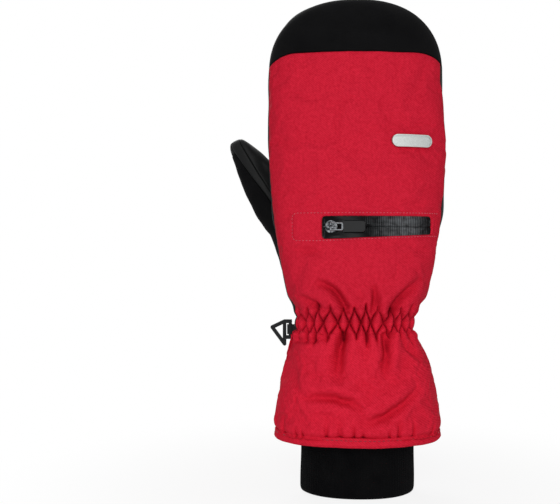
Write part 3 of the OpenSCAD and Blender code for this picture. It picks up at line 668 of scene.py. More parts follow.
def back_surface():
    """Points of the back, their distances from the window, and the normals of its plain form."""
    rows, cols = back_rows(), spaced(150, 0.6)
    turn, x, z, gap = back_grid(rows, cols)
    p = back_form(turn, x, z)
    sewn = -0.4 * bump(frame_gap(x, z), 0, 0.9)
    p = raised(p, sewn + gather(p) + back_folds(p, x, z)) + refined(*back_cloth(), rows, cols)
    plain = grid_normals(back_form(*back_grid(rows, cols, False)[:3]))
    return p - plain * roll_depth(gap, 1.2)[..., None], gap, plain


back_points, back_gap, back_plain = back_surface()


def make_back_panel():
    p = rolled(back_points, "lrt")
    normals = np.where((back_gap < 2.5)[..., None], back_plain, grid_normals(p))
    faces = grid_faces(*p.shape[:2])
    faces = faces[(back_gap > 0).reshape(-1)[faces].any(1)]
    return solid("back_panel_skin", p, faces, normals, padded_t)


# Fingertip cap and the upper palm: fans of lines from a seam to an arch

arch_columns = 170
palm_tilt = 0.055


def arch_curve(angle, width, height):
    """Points (x, z) of an arch at angles from its +X foot."""
    power = 2 / arch_power
    x = width * np.sign(np.cos(angle)) * np.abs(np.cos(angle)) ** power
    return np.stack([x, arch_z + height * np.sin(angle) ** power], -1)


def arch_line(width, height, low_z, side_x=None):
    """Outline of an arch over a level seam, from the +X end to the -X end."""
    start = math.asin(share((low_z - arch_z) / height) ** (arch_power / 2))
    line = arch_curve(np.linspace(start, math.pi - start, 240), width, height)
    if low_z < arch_z:
        run = np.linspace(low_z, arch_z, 30, endpoint=False)
        leg = np.stack([side_x(run), run], -1)
        line = np.concatenate([leg, line, (leg * [-1, 1])[::-1]])
    where = lengths(line)
    return columns_at(where[-1] * spaced(where[-1], where[-1] / arch_columns), where, line)


def fan(foot_x, foot_z, arch, shares):
    """Grids of x and z: each column runs from a point of the seam up to its point of the arch."""
    foot = np.stack([foot_x, foot_z], -1)
    return np.moveaxis(lerp(foot[None], arch[None], shares[:, None, None]), -1, 0)


def make_cap():
    corner_z = cap_seam_z - corner_drop
    arch = arch_line(arch_w, arch_h, corner_z + 2)[::-1]
    shares = 1 - (1 - spaced(45, 0.9)) ** 1.6
    foot_x = np.linspace(-1, 1, len(arch)) * outline_hw(corner_z)
    x, z = fan(foot_x, cap_seam_z - seam_drop(foot_x), arch, shares)
    p = raised(hand_at(x, z, BACK), 0.3 * waves(x, z, 30, 11) * share((1 - nearness(x, z)) * 5))
    return skin("fingertip_cap_skin", p, padded_t, "bt")


def palm_seam_at(x):
    """Height of the palm's cross seam, which falls a little to the pinky side."""
    return palm_seam_z - palm_tilt * x


def palm_upper_surface():
    arch = arch_line(palm_arch_w, palm_arch_h, palm_seam_z + 6, palm_hw)
    foot_x = np.linspace(1, -1, len(arch)) * palm_hw(palm_seam_z)
    x, z = fan(foot_x, palm_seam_at(foot_x), arch, spaced(60, 1.0))
    p = hand_at(x, z, PALM)
    return p + hand_normals(p, PALM) * 0.35 * waves(x, z, 34, 21)[..., None]


palm_upper_points = palm_upper_surface()


def make_palm_upper():
    normals = hand_normals(palm_upper_points, PALM)
    return skin("palm_upper_skin", palm_upper_points, padded_t, "lrbt", 1.8, normals)


# Lower palm, down to the gathers

palm_foot_z = 114
thumb_lap = 2.5


def foot_lap(p):
    """Height of the leather's lower edge over the gauntlet's top. At the sides it goes under the back."""
    over, z = ease((p[..., 1] + 1) / 8), p[..., 2]
    return 1.1 * over * falling(z, palm_foot_z, 6) - (1 - over) * falling(z, palm_foot_z + 4, 8)


def palm_lower_surface():
    rows = lerp(palm_foot_z, palm_seam_z, spaced(palm_seam_z - palm_foot_z, 1.1))[:, None]
    edge = np.arcsin(np.clip((hand_hw(rows) - wall_w) / hand_hw(rows), -1, 1))
    turn = lerp(edge, -edge, spaced(120, 0.9)[None, :])
    scallop = np.sin(turn * 9.3 + 0.5) * falling(rows, palm_foot_z, 4)
    tilt = palm_tilt * hand_hw(rows) * np.sin(turn) * ease((rows - palm_seam_z + 60) / 60)
    under = thumb_lap * ease((-0.2 - turn) / 0.15) * bump(rows, palm_foot_z, 5)
    p = shell_at(turn, rows - scallop - tilt + under, PALM)
    soft = 0.4 * waves(p[..., 0], p[..., 2], 40, 31) + 0.15 * waves(p[..., 0], p[..., 2], 15, 32)
    height = soft * ease((rows - band_z) / 40) + gather(p) + folds_at(p, PALM_FOLDS) + foot_lap(p)
    return raised(p, height)


palm_lower_points = palm_lower_surface()


def make_palm_lower():
    return skin("palm_lower_skin", palm_lower_points, padded_t, "lrbt")


# Walls between the back and the palm

def wall_surface(side):
    pinky = side > 0
    run = lerp(palm_foot_z, arch_z, spaced(arch_z - palm_foot_z, 1.3, high=False))
    angle = np.linspace(0, QUARTER, 80)[1:]
    leg = np.stack([shell_hw(run), run], -1)
    outer_x, outer_z = np.concatenate([leg, arch_curve(angle, arch_w, arch_h)]).T
    inner_x, inner_z = np.concatenate([leg - [wall_w, 0], arch_curve(angle, palm_arch_w, palm_arch_h)]).T
    near = np.sin(lerp(back_edge(outer_z, pinky), QUARTER, np.linspace(0, 1, 6)[:, None]))
    back_z = np.where(outer_z > arch_z, arch_z + near * np.maximum(0, outer_z - arch_z), outer_z)
    back_y = BACK * half_depth(np.minimum(outer_z, arch_z), BACK) * round_off(near, fullness)
    back = np.stack([near * outer_x, back_y, back_z], -1)
    w = spaced(14, 1.0, low=False)[1:, None] ** 1.5
    x, z = lerp(outer_x, inner_x, w), lerp(outer_z, inner_z, w)
    near = np.where(z <= arch_z, x / np.maximum(shell_hw(z), 1), nearness(x, z))
    palm_depth = np.where(z < arch_z, shell_hd(np.minimum(z, arch_z), PALM), half_depth(arch_z, PALM))
    palm = np.stack([x, palm_depth * round_off(near, fullness), z], -1)
    p = np.concatenate([back, palm]).transpose(1, 0, 2)
    if not pinky:
        p = (p * [-1, 1, 1])[:, ::-1]
    z = p[..., 2]
    height = (gather(p) + foot_lap(p)) * (z < arch_z)
    full = 0.4 + (1.6 * bump(z, bulge_z, 12) if pinky else 0)
    across = np.sin(math.pi * np.linspace(0, 1, p.shape[1]))
    joint = -0.7 * bump(p[..., 0], 0, 0.8) * (z > arch_z)
    return raised(p, height + full * across + joint + 0.3 * waves(p[..., 1], z, 26, 41))


def make_wall(side):
    name = "wall_pinky_skin" if side > 0 else "wall_thumb_skin"
    return skin(name, wall_surface(side), trim_t, "lrb", 1.1)


# Gauntlet halves

pucker_count = 30
gauntlet_low = hem_top - 1.5
half_columns = 61


def gauntlet_form(turn, z, side):
    """One half of the gauntlet, and the height of its folds and of the short puckers above the hem."""
    p = shell_at(turn, z, side)
    x, z = p[..., 0], p[..., 2]
    t = pucker_count * round_share(p, hem_hw, hem_hd)
    t = t + 0.3 * ripple(t, 3.3) + 0.2 * ripple(t, 1.9, 1)
    reach = 7 + 4 * ripple(np.round(t), 4.7)
    pucker = -2.2 * bump(t, np.round(t), 0.13) * bump(z, hem_top, reach)
    tuck = 0.8 * bump(z, hem_top + 6, 4) - 1.4 * bump(z, hem_top, 1.4)
    soft = 0.6 * waves(x, z, 36, 51 + side) + 0.25 * waves(x, z, 15, 53 + side)
    soft = soft * ease((z - hem_top) / 14) * ease((band_z - 6 - z) / 20)
    folds = folds_at(p, GAUNTLET_FOLDS if side == BACK else PALM_GAUNTLET_FOLDS)
    inner = ease((QUARTER - np.abs(turn)) / 0.3)
    return p, pucker + tuck + (soft + folds * ease((band_z - 2 - z) / 8)) * inner


def half_turns(rows, cols, side):
    """Turns and heights of a grid over one half, whose columns are shares of the way across."""
    turn = np.broadcast_to(lerp(-QUARTER, QUARTER, cols) * -side, (len(rows), len(cols)))
    return turn, rows[:, None] + 0 * turn


def gauntlet_cloth():
    """How the cloth simulation moves a coarse ring of the gauntlet, with its rows and columns."""
    rows, cols = np.linspace(gauntlet_low, band_z, 30), np.linspace(0, 1, half_columns)
    rings, firm = [], []
    for side in (BACK, PALM):
        p, folds = gauntlet_form(*half_turns(rows, cols[:-1], side), side)
        rings.append(raised(p, folds))
        firm.append(np.clip(np.abs(folds) / 1.8, 0.2, 1))
    p = np.concatenate(rings, 1)
    held = (rows < hem_top + 2) | (rows > band_z - band_half + 2)
    hold = np.where(held[:, None], 1, np.concatenate(firm, 1))
    moved = draped(p, hold, growth=0.018, bending=3.0, pressure=0.15, cap=2.2, wrap=True) - p
    moved = np.concatenate([moved, moved[:, :1]], 1)
    return {BACK: moved[:, :half_columns], PALM: moved[:, half_columns - 1:]}, rows, cols


gauntlet_moved, gauntlet_rows, gauntlet_cols = gauntlet_cloth()


def make_gauntlet(side):
    name = "gauntlet_back_skin" if side == BACK else "gauntlet_palm_skin"
    top = band_z if side == BACK else palm_foot_z + 2
    rows = lerp(gauntlet_low, top, spaced(top - hem_top, 0.6, low=False, high=False))
    cols = spaced(160, 0.65)
    p, folds = gauntlet_form(*half_turns(rows, cols, side), side)
    p = raised(p, gather(p) + folds)
    p = p + refined(gauntlet_moved[side], gauntlet_rows, gauntlet_cols, rows, cols)
    return skin(name, p, trim_t, "lr", 1.1)


# Rings: hem, linings and the knit cuff

hem_inset = 0.6
knit_ribs, knit_top, knit_wall = 104, 104, 2.6
knit_wider, knit_deeper = 1.5, 0.5

# Height and depth below the shell of the gauntlet's lining, which keeps clear of the folds and the knit
LINING_DEPTH = [(hem_z + 2, 3.0), (62, 9.5), (92, 9.0)]
lining_in, lining_below = 9, 8


def ring_solid(name, section, half_w, half_d, count, wave, sharp=60):
    """A closed ring: a loop of (height, out) points swept round an ellipse."""
    turn = np.arange(count) * WHOLE / count
    high, out = np.asarray(section, float).T[:, :, None]
    extra_z, extra_out = wave(turn[None, :], high)
    r = out + extra_out
    p = [(half_w + r) * np.cos(turn), (half_d + r) * np.sin(turn), high + extra_z + 0 * turn]
    p = np.stack(p, -1)
    p = np.concatenate([p, p[:1]])
    return weld(new_object(name, p.reshape(-1, 3), grid_faces(len(p), count, True), sharp))


def hem_sway(turn):
    """How far the hem wanders up and out on its way round."""
    sway = 0.35 * np.sin(3 * turn + 0.6) + 0.25 * np.sin(7 * turn + 2) + 0.12 * np.sin(19 * turn)
    return 0.6 * sway, 0.5 * sway


def make_hem():
    h = hem_top - hem_z
    section = [
        (h + 0.3, -2.3), (h + 0.4, -1.0), (h + 0.1, -0.1), (h - 0.7, 0.45), (h - 1.6, 0.2),
        (h - 2.2, 0.35), (h - 3.2, 0.75), (h - 5, 0.95), (2.4, 0.85), (1.1, 0.45), (0.3, -0.3),
        (0.1, -1.2), (0.6, -2.0), (2, -2.5), (h - 2, -2.6),
    ]
    section = np.array(section[::-1]) + [hem_z, 0]
    half_w, half_d = hem_hw - hem_inset, hem_hd - hem_inset
    return ring_solid("cuff_hem_skin", section, half_w, half_d, 360, lambda turn, z: hem_sway(turn))


def make_gauntlet_lining():
    at, depth = np.array(LINING_DEPTH).T
    rows = np.linspace(at[0], at[-1], 30)[:, None]
    half = np.linspace(-QUARTER, QUARTER, 121)[None, :-1]
    p = np.concatenate([shell_at(half, rows, BACK), shell_at(-half, rows, PALM)], 1)
    soft = 0.4 * waves(p[..., 0], p[..., 2], 22, 55) * ease((rows - at[0]) / 10)
    return tube("gauntlet_lining_skin", p, soft - np.interp(rows, at, depth), 0.7)


def knit_wave(turn, z):
    """Ribs and a slow sway of the knit cuff: up, and out."""
    rib = 0.3 * np.abs(np.cos(knit_ribs / 2 * turn)) ** 0.7 * ease((z - 0.5) / 3)
    sway = 0.5 * np.sin(2 * turn + 0.8) * (1 - share(z / 50)) + 0.25 * np.sin(5 * turn + 0.04 * z)
    return 0.35 * np.sin(2 * turn + 1) * (1 - share(z / 20)), rib + sway


def make_knit():
    def narrowing(z):
        return 2.2 * ease((z - 40) / 45)

    half = knit_wall / 2
    outer_z = lerp(3.0, knit_top, np.linspace(0, 1, 44) ** 1.2)
    inner_z = np.linspace(knit_top, 2.5, 22)
    a = np.linspace(math.pi - 0.2, 0.2, 9)
    outer = np.stack([outer_z, 0.35 * bump(outer_z, 10, 12) - narrowing(outer_z)], -1)
    foot = np.stack([half * (1 - np.sin(a)) + 0.3, half * (1.1 * np.cos(a) - 1)], -1)
    inner = np.stack([inner_z, 0.1 - knit_wall - narrowing(inner_z)], -1)
    section = np.concatenate([inner, foot, outer])
    half_w, half_d = knit_hw + knit_wider, knit_hd + knit_deeper
    return ring_solid("knit_cuff_skin", section, half_w, half_d, knit_ribs * 8, knit_wave, 80)


def make_hand_lining():
    rows = np.linspace(knit_top - 6, mitten_h - 11, 60)[:, None]
    turn = np.linspace(-math.pi, math.pi, 96, endpoint=False)[None, :]
    palm_side = np.cos(turn) > 0
    low = np.minimum(rows, arch_z)
    half_w = np.maximum(outline_hw(np.minimum(rows + lining_below, mitten_h)) - lining_in, 1)
    x = np.minimum(half_w, band_hw - lining_below + 40 * ease((rows - 130) / 40)) * np.sin(turn)
    depth = np.where(palm_side, half_depth(low, PALM), half_depth(low, BACK))
    depth = np.maximum(depth * arch_hw(rows + lining_below, 1, arch_h) - lining_in, 0.5)
    y = np.where(palm_side, PALM, BACK) * depth * round_off(np.abs(np.sin(turn)), fullness)
    p = np.stack([x, y, np.broadcast_to(rows, x.shape)], -1)[:, ::-1]
    return tube("hand_lining_skin", p, 0.3 * waves(p[..., 0], p[..., 2], 12, 61), 1.2)


# Thumb: a loft from the palm's surface into the leaning thumb

thumb_len, thumb_w, thumb_d, thumb_taper, thumb_tip_h = 78, 35, 28, 6, 15
thumb_low, thumb_cap = 6, 9
thumb_straight = thumb_len - thumb_tip_h
tip_power, tip_square, tip_reach = 2.4, 9, 4
cut_slope, cut_from, cut_round = 1.75, -0.6, 1.2
root_lift = 0.6

thumb_foot = np.array([-49.5, 32.05, 184])
lean, rise = math.radians(25), math.radians(3.5)
thumb_dir = np.array([-math.sin(lean) * math.cos(rise), math.sin(rise), math.cos(lean) * math.cos(rise)])
thumb_across = np.array([math.cos(lean), 0, math.sin(lean)])
thumb_out = np.cross(thumb_dir, thumb_across)

# Half width of the thumb on its outer side, at distances along it
THUMB_OUTER = [
    (0, 11.2), (14, 14.1), (25, 15.5), (35, 16.1), (45, 15.7), (54, 14.9), (64, 13.9), (73, 12.5), (78, 11),
]

# Turn round the thumb in degrees, and where its root meets the palm there (x, z)
THUMB_ROOT = [
    (-90, -38, 190), (-50, -27, 182), (-20, -22.5, 168), (10, -19, 148), (30, -12, 116.5),
    (46, -17, 115.5), (75, -24, 115.5), (105, -31, 115.5), (130, -36.5, 115.5), (150, -40.5, 117.5),
    (165, -45, 129), (185, -49, 145), (210, -51.5, 160), (235, -51.5, 175), (255, -46, 187),
]
THUMB_ROOT += [(turn + 360, x, z) for turn, x, z in THUMB_ROOT[:5]]


def tip_share(s, power=tip_power):
    return round_off(np.maximum(0, s - thumb_straight) / thumb_tip_h, power)


def tip_cut(wide):
    """How far the thumb's end falls back towards the hand."""
    return cut_slope * cut_round * np.logaddexp(0, (wide - cut_from) / cut_round)


def thumb_at(a, s):
    """Points of the thumb at a turn round it in degrees and a distance along it."""
    a = np.radians(a)
    narrow = thumb_taper * share(s / thumb_straight)
    half_w = np.where(np.cos(a) < 0, np.interp(s, *np.array(THUMB_OUTER).T), (thumb_w - narrow) / 2)
    wide = half_w * tip_share(s, lerp(tip_power, tip_square, ease((0.3 - np.cos(a)) / 1.3))) * np.cos(a)
    deep = (thumb_d - narrow) / 2 * tip_share(s) * np.sin(a)
    along = s + tip_reach * ease((s - 40) / 38) - tip_cut(wide) * ease((s - 4) / 62)
    return thumb_foot + np.stack([along, wide, deep], -1) @ np.array([thumb_dir, thumb_across, thumb_out])


def palm_y(x, z):
    """How far out the palm's surface lies, gathers included."""
    p = shell_at(np.arcsin(np.clip(x / shell_hw(z), -0.995, 0.995)), z, PALM)
    return p[..., 1] + gather(p) + foot_lap(p)


def thumb_root(a, u):
    """Points between the palm, where u is 0, and the thumb, where u is 1."""
    turns, xs, zs = np.array(THUMB_ROOT, float).T
    x, z = np.interp(a, turns, xs), np.interp(a, turns, zs)
    foot = np.stack([x, palm_y(x, z) + root_lift, z], -1)
    head = thumb_at(a, np.full(a.shape, float(thumb_low)))
    reach = np.linalg.norm(head - foot, axis=-1, keepdims=True)
    wrist = (ease((a - 12) / 22) * ease((172 - a) / 30))[..., None]
    lift = unit(lerp(np.array([-0.15, 1.0, 0.25]), np.array([-0.1, 0.22, 1.0]), wrist))
    u = u[..., None]
    p = lerp(foot, head, ease(u)) + lift * reach * u * (1 - u) ** 2
    p = p - thumb_dir * reach * 0.9 * u ** 2 * (1 - u)
    clear = np.maximum(p[..., 1], palm_y(p[..., 0], p[..., 2]) + root_lift)
    p[..., 1] = np.where(np.abs(p[..., 0]) < shell_hw(p[..., 2]), clear, p[..., 1])
    return p


body_rows = np.linspace(thumb_low, thumb_straight, 40)[1:]
tip_rows = thumb_straight + thumb_tip_h * np.sin(np.linspace(0, QUARTER, 24))[1:]
THUMB_ROWS = np.concatenate([body_rows, tip_rows])


def thumb_panel(left, right, top=thumb_len, pitch=1.2):
    """A panel's points between two turns, each a function of the distance along the thumb."""
    low, high = spaced(60, 1.6, high=False), THUMB_ROWS
    if top < thumb_len:
        high = np.concatenate([high[high < top - seam_clear], top - SEAM_STEPS[::-1]])
    cols = spaced(abs(right(40) - left(40)) / 360 * 95, pitch)
    u, at_foot = np.broadcast_arrays(low[:, None], lerp(left(thumb_low), right(thumb_low), cols))
    s = np.broadcast_to(high[:, None], (len(high), len(cols)))
    turn = lerp(left(s), right(s), cols)
    p = np.concatenate([thumb_root(at_foot, u), thumb_at(turn, s)])
    x, y, z = np.moveaxis(p, -1, 0)
    soft = 0.18 * waves(y + x, z, 26, 71) + 0.12 * waves(x, z, 11, 72)
    fade = np.concatenate([ease(low * 2), np.minimum(1, tip_share(high) * 1.5)])
    hollow = -1.6 * bump(turn, 296, 17) * bump(s, 48, 20) * ease((s - thumb_low) / 10)
    return raised(p, soft * fade[:, None] + np.concatenate([0 * at_foot, hollow]))


def level(turn):
    """A seam that stays at one turn all along the thumb."""
    return lambda s: turn + 0 * s


def back_seam(s):
    """Turn of the seam on the side of the thumb that faces the back of the hand."""
    return 272 - 69 * share((s - thumb_low) / (thumb_len - thumb_low)) ** 1.9


def edge_seam(s):
    """Turn of the seam between the leather edge strip and the inner side, whose leather is painted darker
    as shade.
    """
    return 250 + 0.62 * (thumb_len + 2 - s)


strip_inner, strip_outer, palm_side_seam, strip_again = level(30), level(46), level(325), level(390)
thumb_cap_s = thumb_len - thumb_cap


def make_thumb_tip():
    rows = np.concatenate([thumb_cap_s + SEAM_STEPS, THUMB_ROWS[THUMB_ROWS > thumb_cap_s + seam_clear]])
    s, cols = np.broadcast_arrays(rows[:, None], spaced(50, 1.0))
    p = thumb_at(lerp(strip_outer(s), back_seam(s), cols), s)
    return skin("thumb_tip_skin", p, trim_t, "lrb", 1.0)


# Zip: two coated tapes with the coil's ridges pressed through, meeting in the middle

tape_w, tape_t, tape_in = 9.6, 0.4, 1.4
tape_from, tape_to = math.radians(-19.5), math.radians(38.2)
coil_pitch, lip_drop = 1.3, 1.45
part_tape_past, part_tape_edge = 1.5, 9.3

# The zip's curve: an arc through the top of the back and the far corner of the part's tape
zip_top = hand_at(0, zip_z, BACK, 2)
zip_end = hand_at(zip_right + part_tape_past, zip_z - part_tape_edge, BACK, 2)
zip_sag = zip_end[1] - zip_top[1]
zip_r = (zip_end[0] ** 2 + zip_sag ** 2) / (2 * zip_sag)
zip_axis_y = zip_r + zip_top[1]
tape_r = zip_r - tape_in


def make_tape(side):
    rows = np.linspace(0.12, tape_w - 0.1, 40)[::side, None]
    angle = np.linspace(tape_from, tape_to, round((tape_to - tape_from) * tape_r / 0.2))[None, :]
    teeth = 0.2 * np.cos(WHOLE * (angle * tape_r / coil_pitch + 0.25 * side))
    out = 0.2 * bump(rows, 1.5, 1.0) + teeth * bump(rows, 1.3, 0.8) - 0.35 * bump(rows, 0, 0.35)
    r = tape_r + out - 0.12 * bump(rows, 3.4, 0.5) + 0.02
    x, z = r * np.sin(angle), zip_z + side * rows + 0 * r
    near_lip = ease((window_gap(x, z) + 2.5) / 2.5)
    y = lerp(zip_axis_y - r * np.cos(angle), hand_at(x, z, BACK, 2)[..., 1] + lip_drop, near_lip)
    p = np.stack([x, y, z], -1)
    name = "zip_tape_upper_skin" if side > 0 else "zip_tape_lower_skin"
    return solid(name, p, grid_faces(*p.shape[:2]), grid_normals(p), tape_t)


# A short webbing tab that sews the clip's loop to the shell

tab_low, tab_high = np.array([-46.2, -1.8, 113.4]), np.array([-37.0, 1.8, 117.8])
tab_square = 0.4
tab_rings, tab_sides = 12, 24


def make_tab():
    turn = np.arange(tab_sides) * WHOLE / tab_sides
    ring = np.stack([np.cos(turn), np.sin(turn)], -1)
    ring = np.sign(ring) * np.abs(ring) ** tab_square
    yz = lerp(tab_low[1:], tab_high[1:], (ring + 1) / 2)
    rings = [np.insert(yz, 0, x, axis=1) for x in np.linspace(tab_high[0], tab_low[0], tab_rings)]
    return new_object("hook_tab", np.concatenate(rings), rod_faces(tab_rings, tab_sides))


# Threads

ZIP_THREAD = dict(length=1.5, gap=0.9, radius=0.3, lift=0.15)
HEM_THREAD = dict(length=2.2, gap=1.0, radius=0.28, lift=0.1)
PALM_THREAD = dict(length=2.0, gap=1.0, radius=0.26, lift=0.15)
WRIST_THREAD = dict(length=1.3, gap=0.9, radius=0.26, lift=0.25)
hem_thread_down, hem_thread_out = 1.6, 0.25
zigzag_from, zigzag_to, zigzag_step = -9, 37, 3.6
zigzag_z, zigzag_half = 120.4, 2.8


def seated(p, x, z):
    """Points and normals of a finished panel, a grid of points, at places (x, z)."""
    flat, normals = p.reshape(-1, 3), grid_normals(p).reshape(-1, 3)
    gap = np.hypot(flat[:, 0] - x[:, None], flat[:, 2] - z[:, None])
    nearest = np.argsort(gap, axis=1)[:, :6]
    weight = 1 / (np.take_along_axis(gap, nearest, 1) + 0.05) ** 2
    weight = (weight / weight.sum(1, keepdims=True))[..., None]
    return (flat[nearest] * weight).sum(1), unit((normals[nearest] * weight).sum(1))


def make_zip_stitches():
    """A row over the zip's window, round its thumb end and back below it."""
    left, high, r = stitch_frame["left"], stitch_frame["high"], stitch_frame["radius"]
    a = np.linspace(0.2, 1.4, 6)
    x = np.concatenate([np.linspace(stitch_frame["right"] + 2, left + r, 60), left + r - r * np.sin(a)])
    up = np.concatenate([np.full(60, high - zip_z), high - zip_z - r + r * np.cos(a)])
    x, z = np.concatenate([x, x[::-1]]), zip_z + np.concatenate([up, taper_at(x[::-1]) - up[::-1]])
    return stitches("zip_stitches", [seated(back_points, x, z)], **ZIP_THREAD)


def make_hem_stitches():
    turn = np.linspace(0, WHOLE, 400)
    up, out = hem_sway(turn)
    r = hem_thread_out - hem_inset + out
    z = hem_top - hem_thread_down + up
    p = np.stack([(hem_hw + r) * np.cos(turn), (hem_hd + r) * np.sin(turn), z], -1)
    normal = unit(np.stack([np.cos(turn) / hem_hw, np.sin(turn) / hem_hd, 0 * turn], -1))
    return stitches("hem_stitches", [(p, normal)], **HEM_THREAD)


def make_palm_stitches():
    runs = []
    for panel, offset in ((palm_lower_points, -2.4), (palm_lower_points, -4.6), (palm_upper_points, 2.4)):
        half = palm_hw(palm_seam_z + offset) - 2
        x = np.linspace(half, -half, 60)
        runs.append(seated(panel, x, palm_seam_at(x) + offset))
    return stitches("palm_stitches", runs, **PALM_THREAD)


def make_wrist_threads():
    """Zigzag of red thread over the leather's lower end, where the elastic is sewn in."""
    x = np.arange(zigzag_from, zigzag_to, zigzag_step)
    z = zigzag_z + zigzag_half * np.where(np.arange(len(x)) % 2, 1, -1)
    path = along_path(np.stack([x, z], -1), 0.5)
    return stitches("wrist_threads", [seated(palm_lower_points, *path.T)], **WRIST_THREAD)


# Materials

def colour(code):
    """Linear colour from a hex code."""
    parts = [int(code[i:i + 2], 16) / 255 for i in (1, 3, 5)]
    return [c / 12.92 if c <= 0.04045 else ((c + 0.055) / 1.055) ** 2.4 for c in parts] + [1]


def add_node(tree, kind, inputs=(), **settings):
    """A shader node, whose inputs take numbers or the outputs of other nodes."""
    node = tree.nodes.new(kind)
    for key, value in settings.items():
        setattr(node, key, value)
    for key, value in dict(inputs).items():
        if isinstance(value, bpy.types.NodeSocket):
            tree.links.new(value, node.inputs[key])
        else:
            node.inputs[key].default_value = value
    return node


class Finish:
    """A material being put together: a Principled shader and the nodes that feed it."""

    def __init__(self, name, **values):
        self.material = bpy.data.materials.new(name)
        self.material.use_nodes = True
        self.tree = self.material.node_tree
        self.shader = self.tree.nodes["Principled BSDF"]
        for key, value in values.items():
            self.shader.inputs[key.replace("_", " ")].default_value = value

    def node(self, kind, inputs=(), **settings):
        return add_node(self.tree, kind, inputs, **settings)

    def feed(self, output, name):
        self.tree.links.new(output, self.shader.inputs[name])
        return self

    def place(self, turn=(0, 0, 0)):
        """Object coordinates, turned by angles in degrees."""
        coords = self.node("ShaderNodeTexCoord").outputs["Object"]
        inputs = {"Vector": coords, "Rotation": [math.radians(a) for a in turn]}
        return self.node("ShaderNodeMapping", inputs).outputs["Vector"]

    def noise(self, scale, detail):
        inputs = {"Vector": self.place(), "Scale": scale, "Detail": detail}
        return self.node("ShaderNodeTexNoise", inputs).outputs["Fac"]

    def cells(self, scale):
        inputs = {"Vector": self.place(), "Scale": scale}
        return self.node("ShaderNodeTexVoronoi", inputs).outputs["Distance"]

    def lines(self, pitch, turn, uneven):
        """Bands along the turned X, a pitch in millimetres apart."""
        scale = WHOLE / (20 * pitch * MM)
        inputs = {"Vector": self.place(turn), "Scale": scale, "Distortion": uneven, "Detail": 1.0}
        return self.node("ShaderNodeTexWave", inputs).outputs["Fac"]

    def math(self, kind, a, b):
        return self.node("ShaderNodeMath", {0: a, 1: b}, operation=kind).outputs[0]

    def mix(self, a, a_share, b, b_share):
        return self.math("ADD", self.math("MULTIPLY", a, a_share), self.math("MULTIPLY", b, b_share))

    def range(self, value, **ends):
        """A value mapped from one range to another; each range is 0 to 1 unless given."""
        inputs = {key.replace("_", " "): end for key, end in ends.items()}
        return self.node("ShaderNodeMapRange", {"Value": value, **inputs}).outputs[0]

    def painted_crease_shade(self, reach):
        """Ambient occlusion, 1 on open ground and less in narrow hollow places; fed into a base colour it
        paints shade.
        """
        return self.node("ShaderNodeAmbientOcclusion", {"Distance": reach * MM}, samples=8).outputs["AO"]

    def tint(self, value, dark, light, low=0.3, high=0.7, deep=None):
        """Base colour between two hex codes, with a third one below them; red_twill gives the third a deep
        red for painted shade in creases.
        """
        ramp = self.node("ShaderNodeValToRGB", {"Fac": value})
        for element, position, code in zip(ramp.color_ramp.elements, (low, high), (dark, light)):
            element.position = position
            element.color = colour(code)
        if deep:
            ramp.color_ramp.elements.new(0).color = colour(deep)
        return self.feed(ramp.outputs["Color"], "Base Color")

    def rough(self, value, low, high):
        return self.feed(self.range(value, To_Min=low, To_Max=high), "Roughness")

    def mottled(self, scale, detail, colours, roughness, ramp=(0.3, 0.7)):
        """Noise that drives the base colour and the roughness."""
        noise = self.noise(scale, detail)
        self.tint(noise, *colours, *ramp)
        self.rough(noise, *roughness)
        return noise

    def relief(self, height, strength, depth):
        """Fine bumps of a depth in millimetres."""
        inputs = {"Height": height, "Strength": strength, "Distance": depth * MM}
        return self.feed(self.node("ShaderNodeBump", inputs).outputs["Normal"], "Normal")


def red_twill(name, dark, light):
    f = Finish(name, Roughness=0.7, Specular_IOR_Level=0.03)
    weave = f.lines(1.15, (0, 52, 12), 0.6)
    mottle = f.noise(600, 3)
    # The colour is multiplied by ambient occlusion, so folds, gathers and seams darken towards the deep red
    # #8A0C1B: painted shade.
    mix = f.math("MULTIPLY", f.mix(weave, 0.26, mottle, 0.74), f.math("POWER", f.painted_crease_shade(7), 1.1))
    f.tint(mix, dark, light, 0.25, 0.75, "#8A0C1B")
    f.rough(mottle, 0.66, 0.78)
    return f.relief(f.mix(weave, 1, f.noise(2400, 1), 0.5), 0.35, 0.12)


def softshell():
    f = Finish("black_softshell", Roughness=0.9, Specular_IOR_Level=0.07,
               Sheen_Weight=0.01, Sheen_Roughness=0.5)
    f.mottled(60, 3, ("#060607", "#0E0E0F"), (0.82, 0.95))
    return f.relief(f.math("ADD", f.cells(1500), f.noise(2600, 1)), 0.5, 0.1)


def coated_leather(name, dark, light):
    f = Finish(name, Roughness=0.6, Specular_IOR_Level=0.16)
    f.mottled(70, 4, (dark, light), (0.5, 0.68))
    return f.relief(f.mix(f.cells(1100), 1, f.noise(420, 3), 0.8), 0.4, 0.18)


def rib_knit():
    f = Finish("rib_knit", Roughness=0.95, Sheen_Weight=0.01, Sheen_Roughness=0.5, Specular_IOR_Level=0.05)
    f.mottled(90, 3, ("#050506", "#0D0D0E"), (0.85, 1.0))
    return f.relief(f.math("ADD", f.lines(1.4, (0, 90, 0), 1.5), f.noise(1800, 2)), 0.6, 0.25)


def lining(name, dark, light):
    f = Finish(name, Roughness=0.95, Sheen_Weight=0.3, Sheen_Roughness=0.5, Specular_IOR_Level=0.2)
    return f.relief(f.mottled(900, 4, (dark, light), (0.85, 1.0)), 0.8, 0.5)


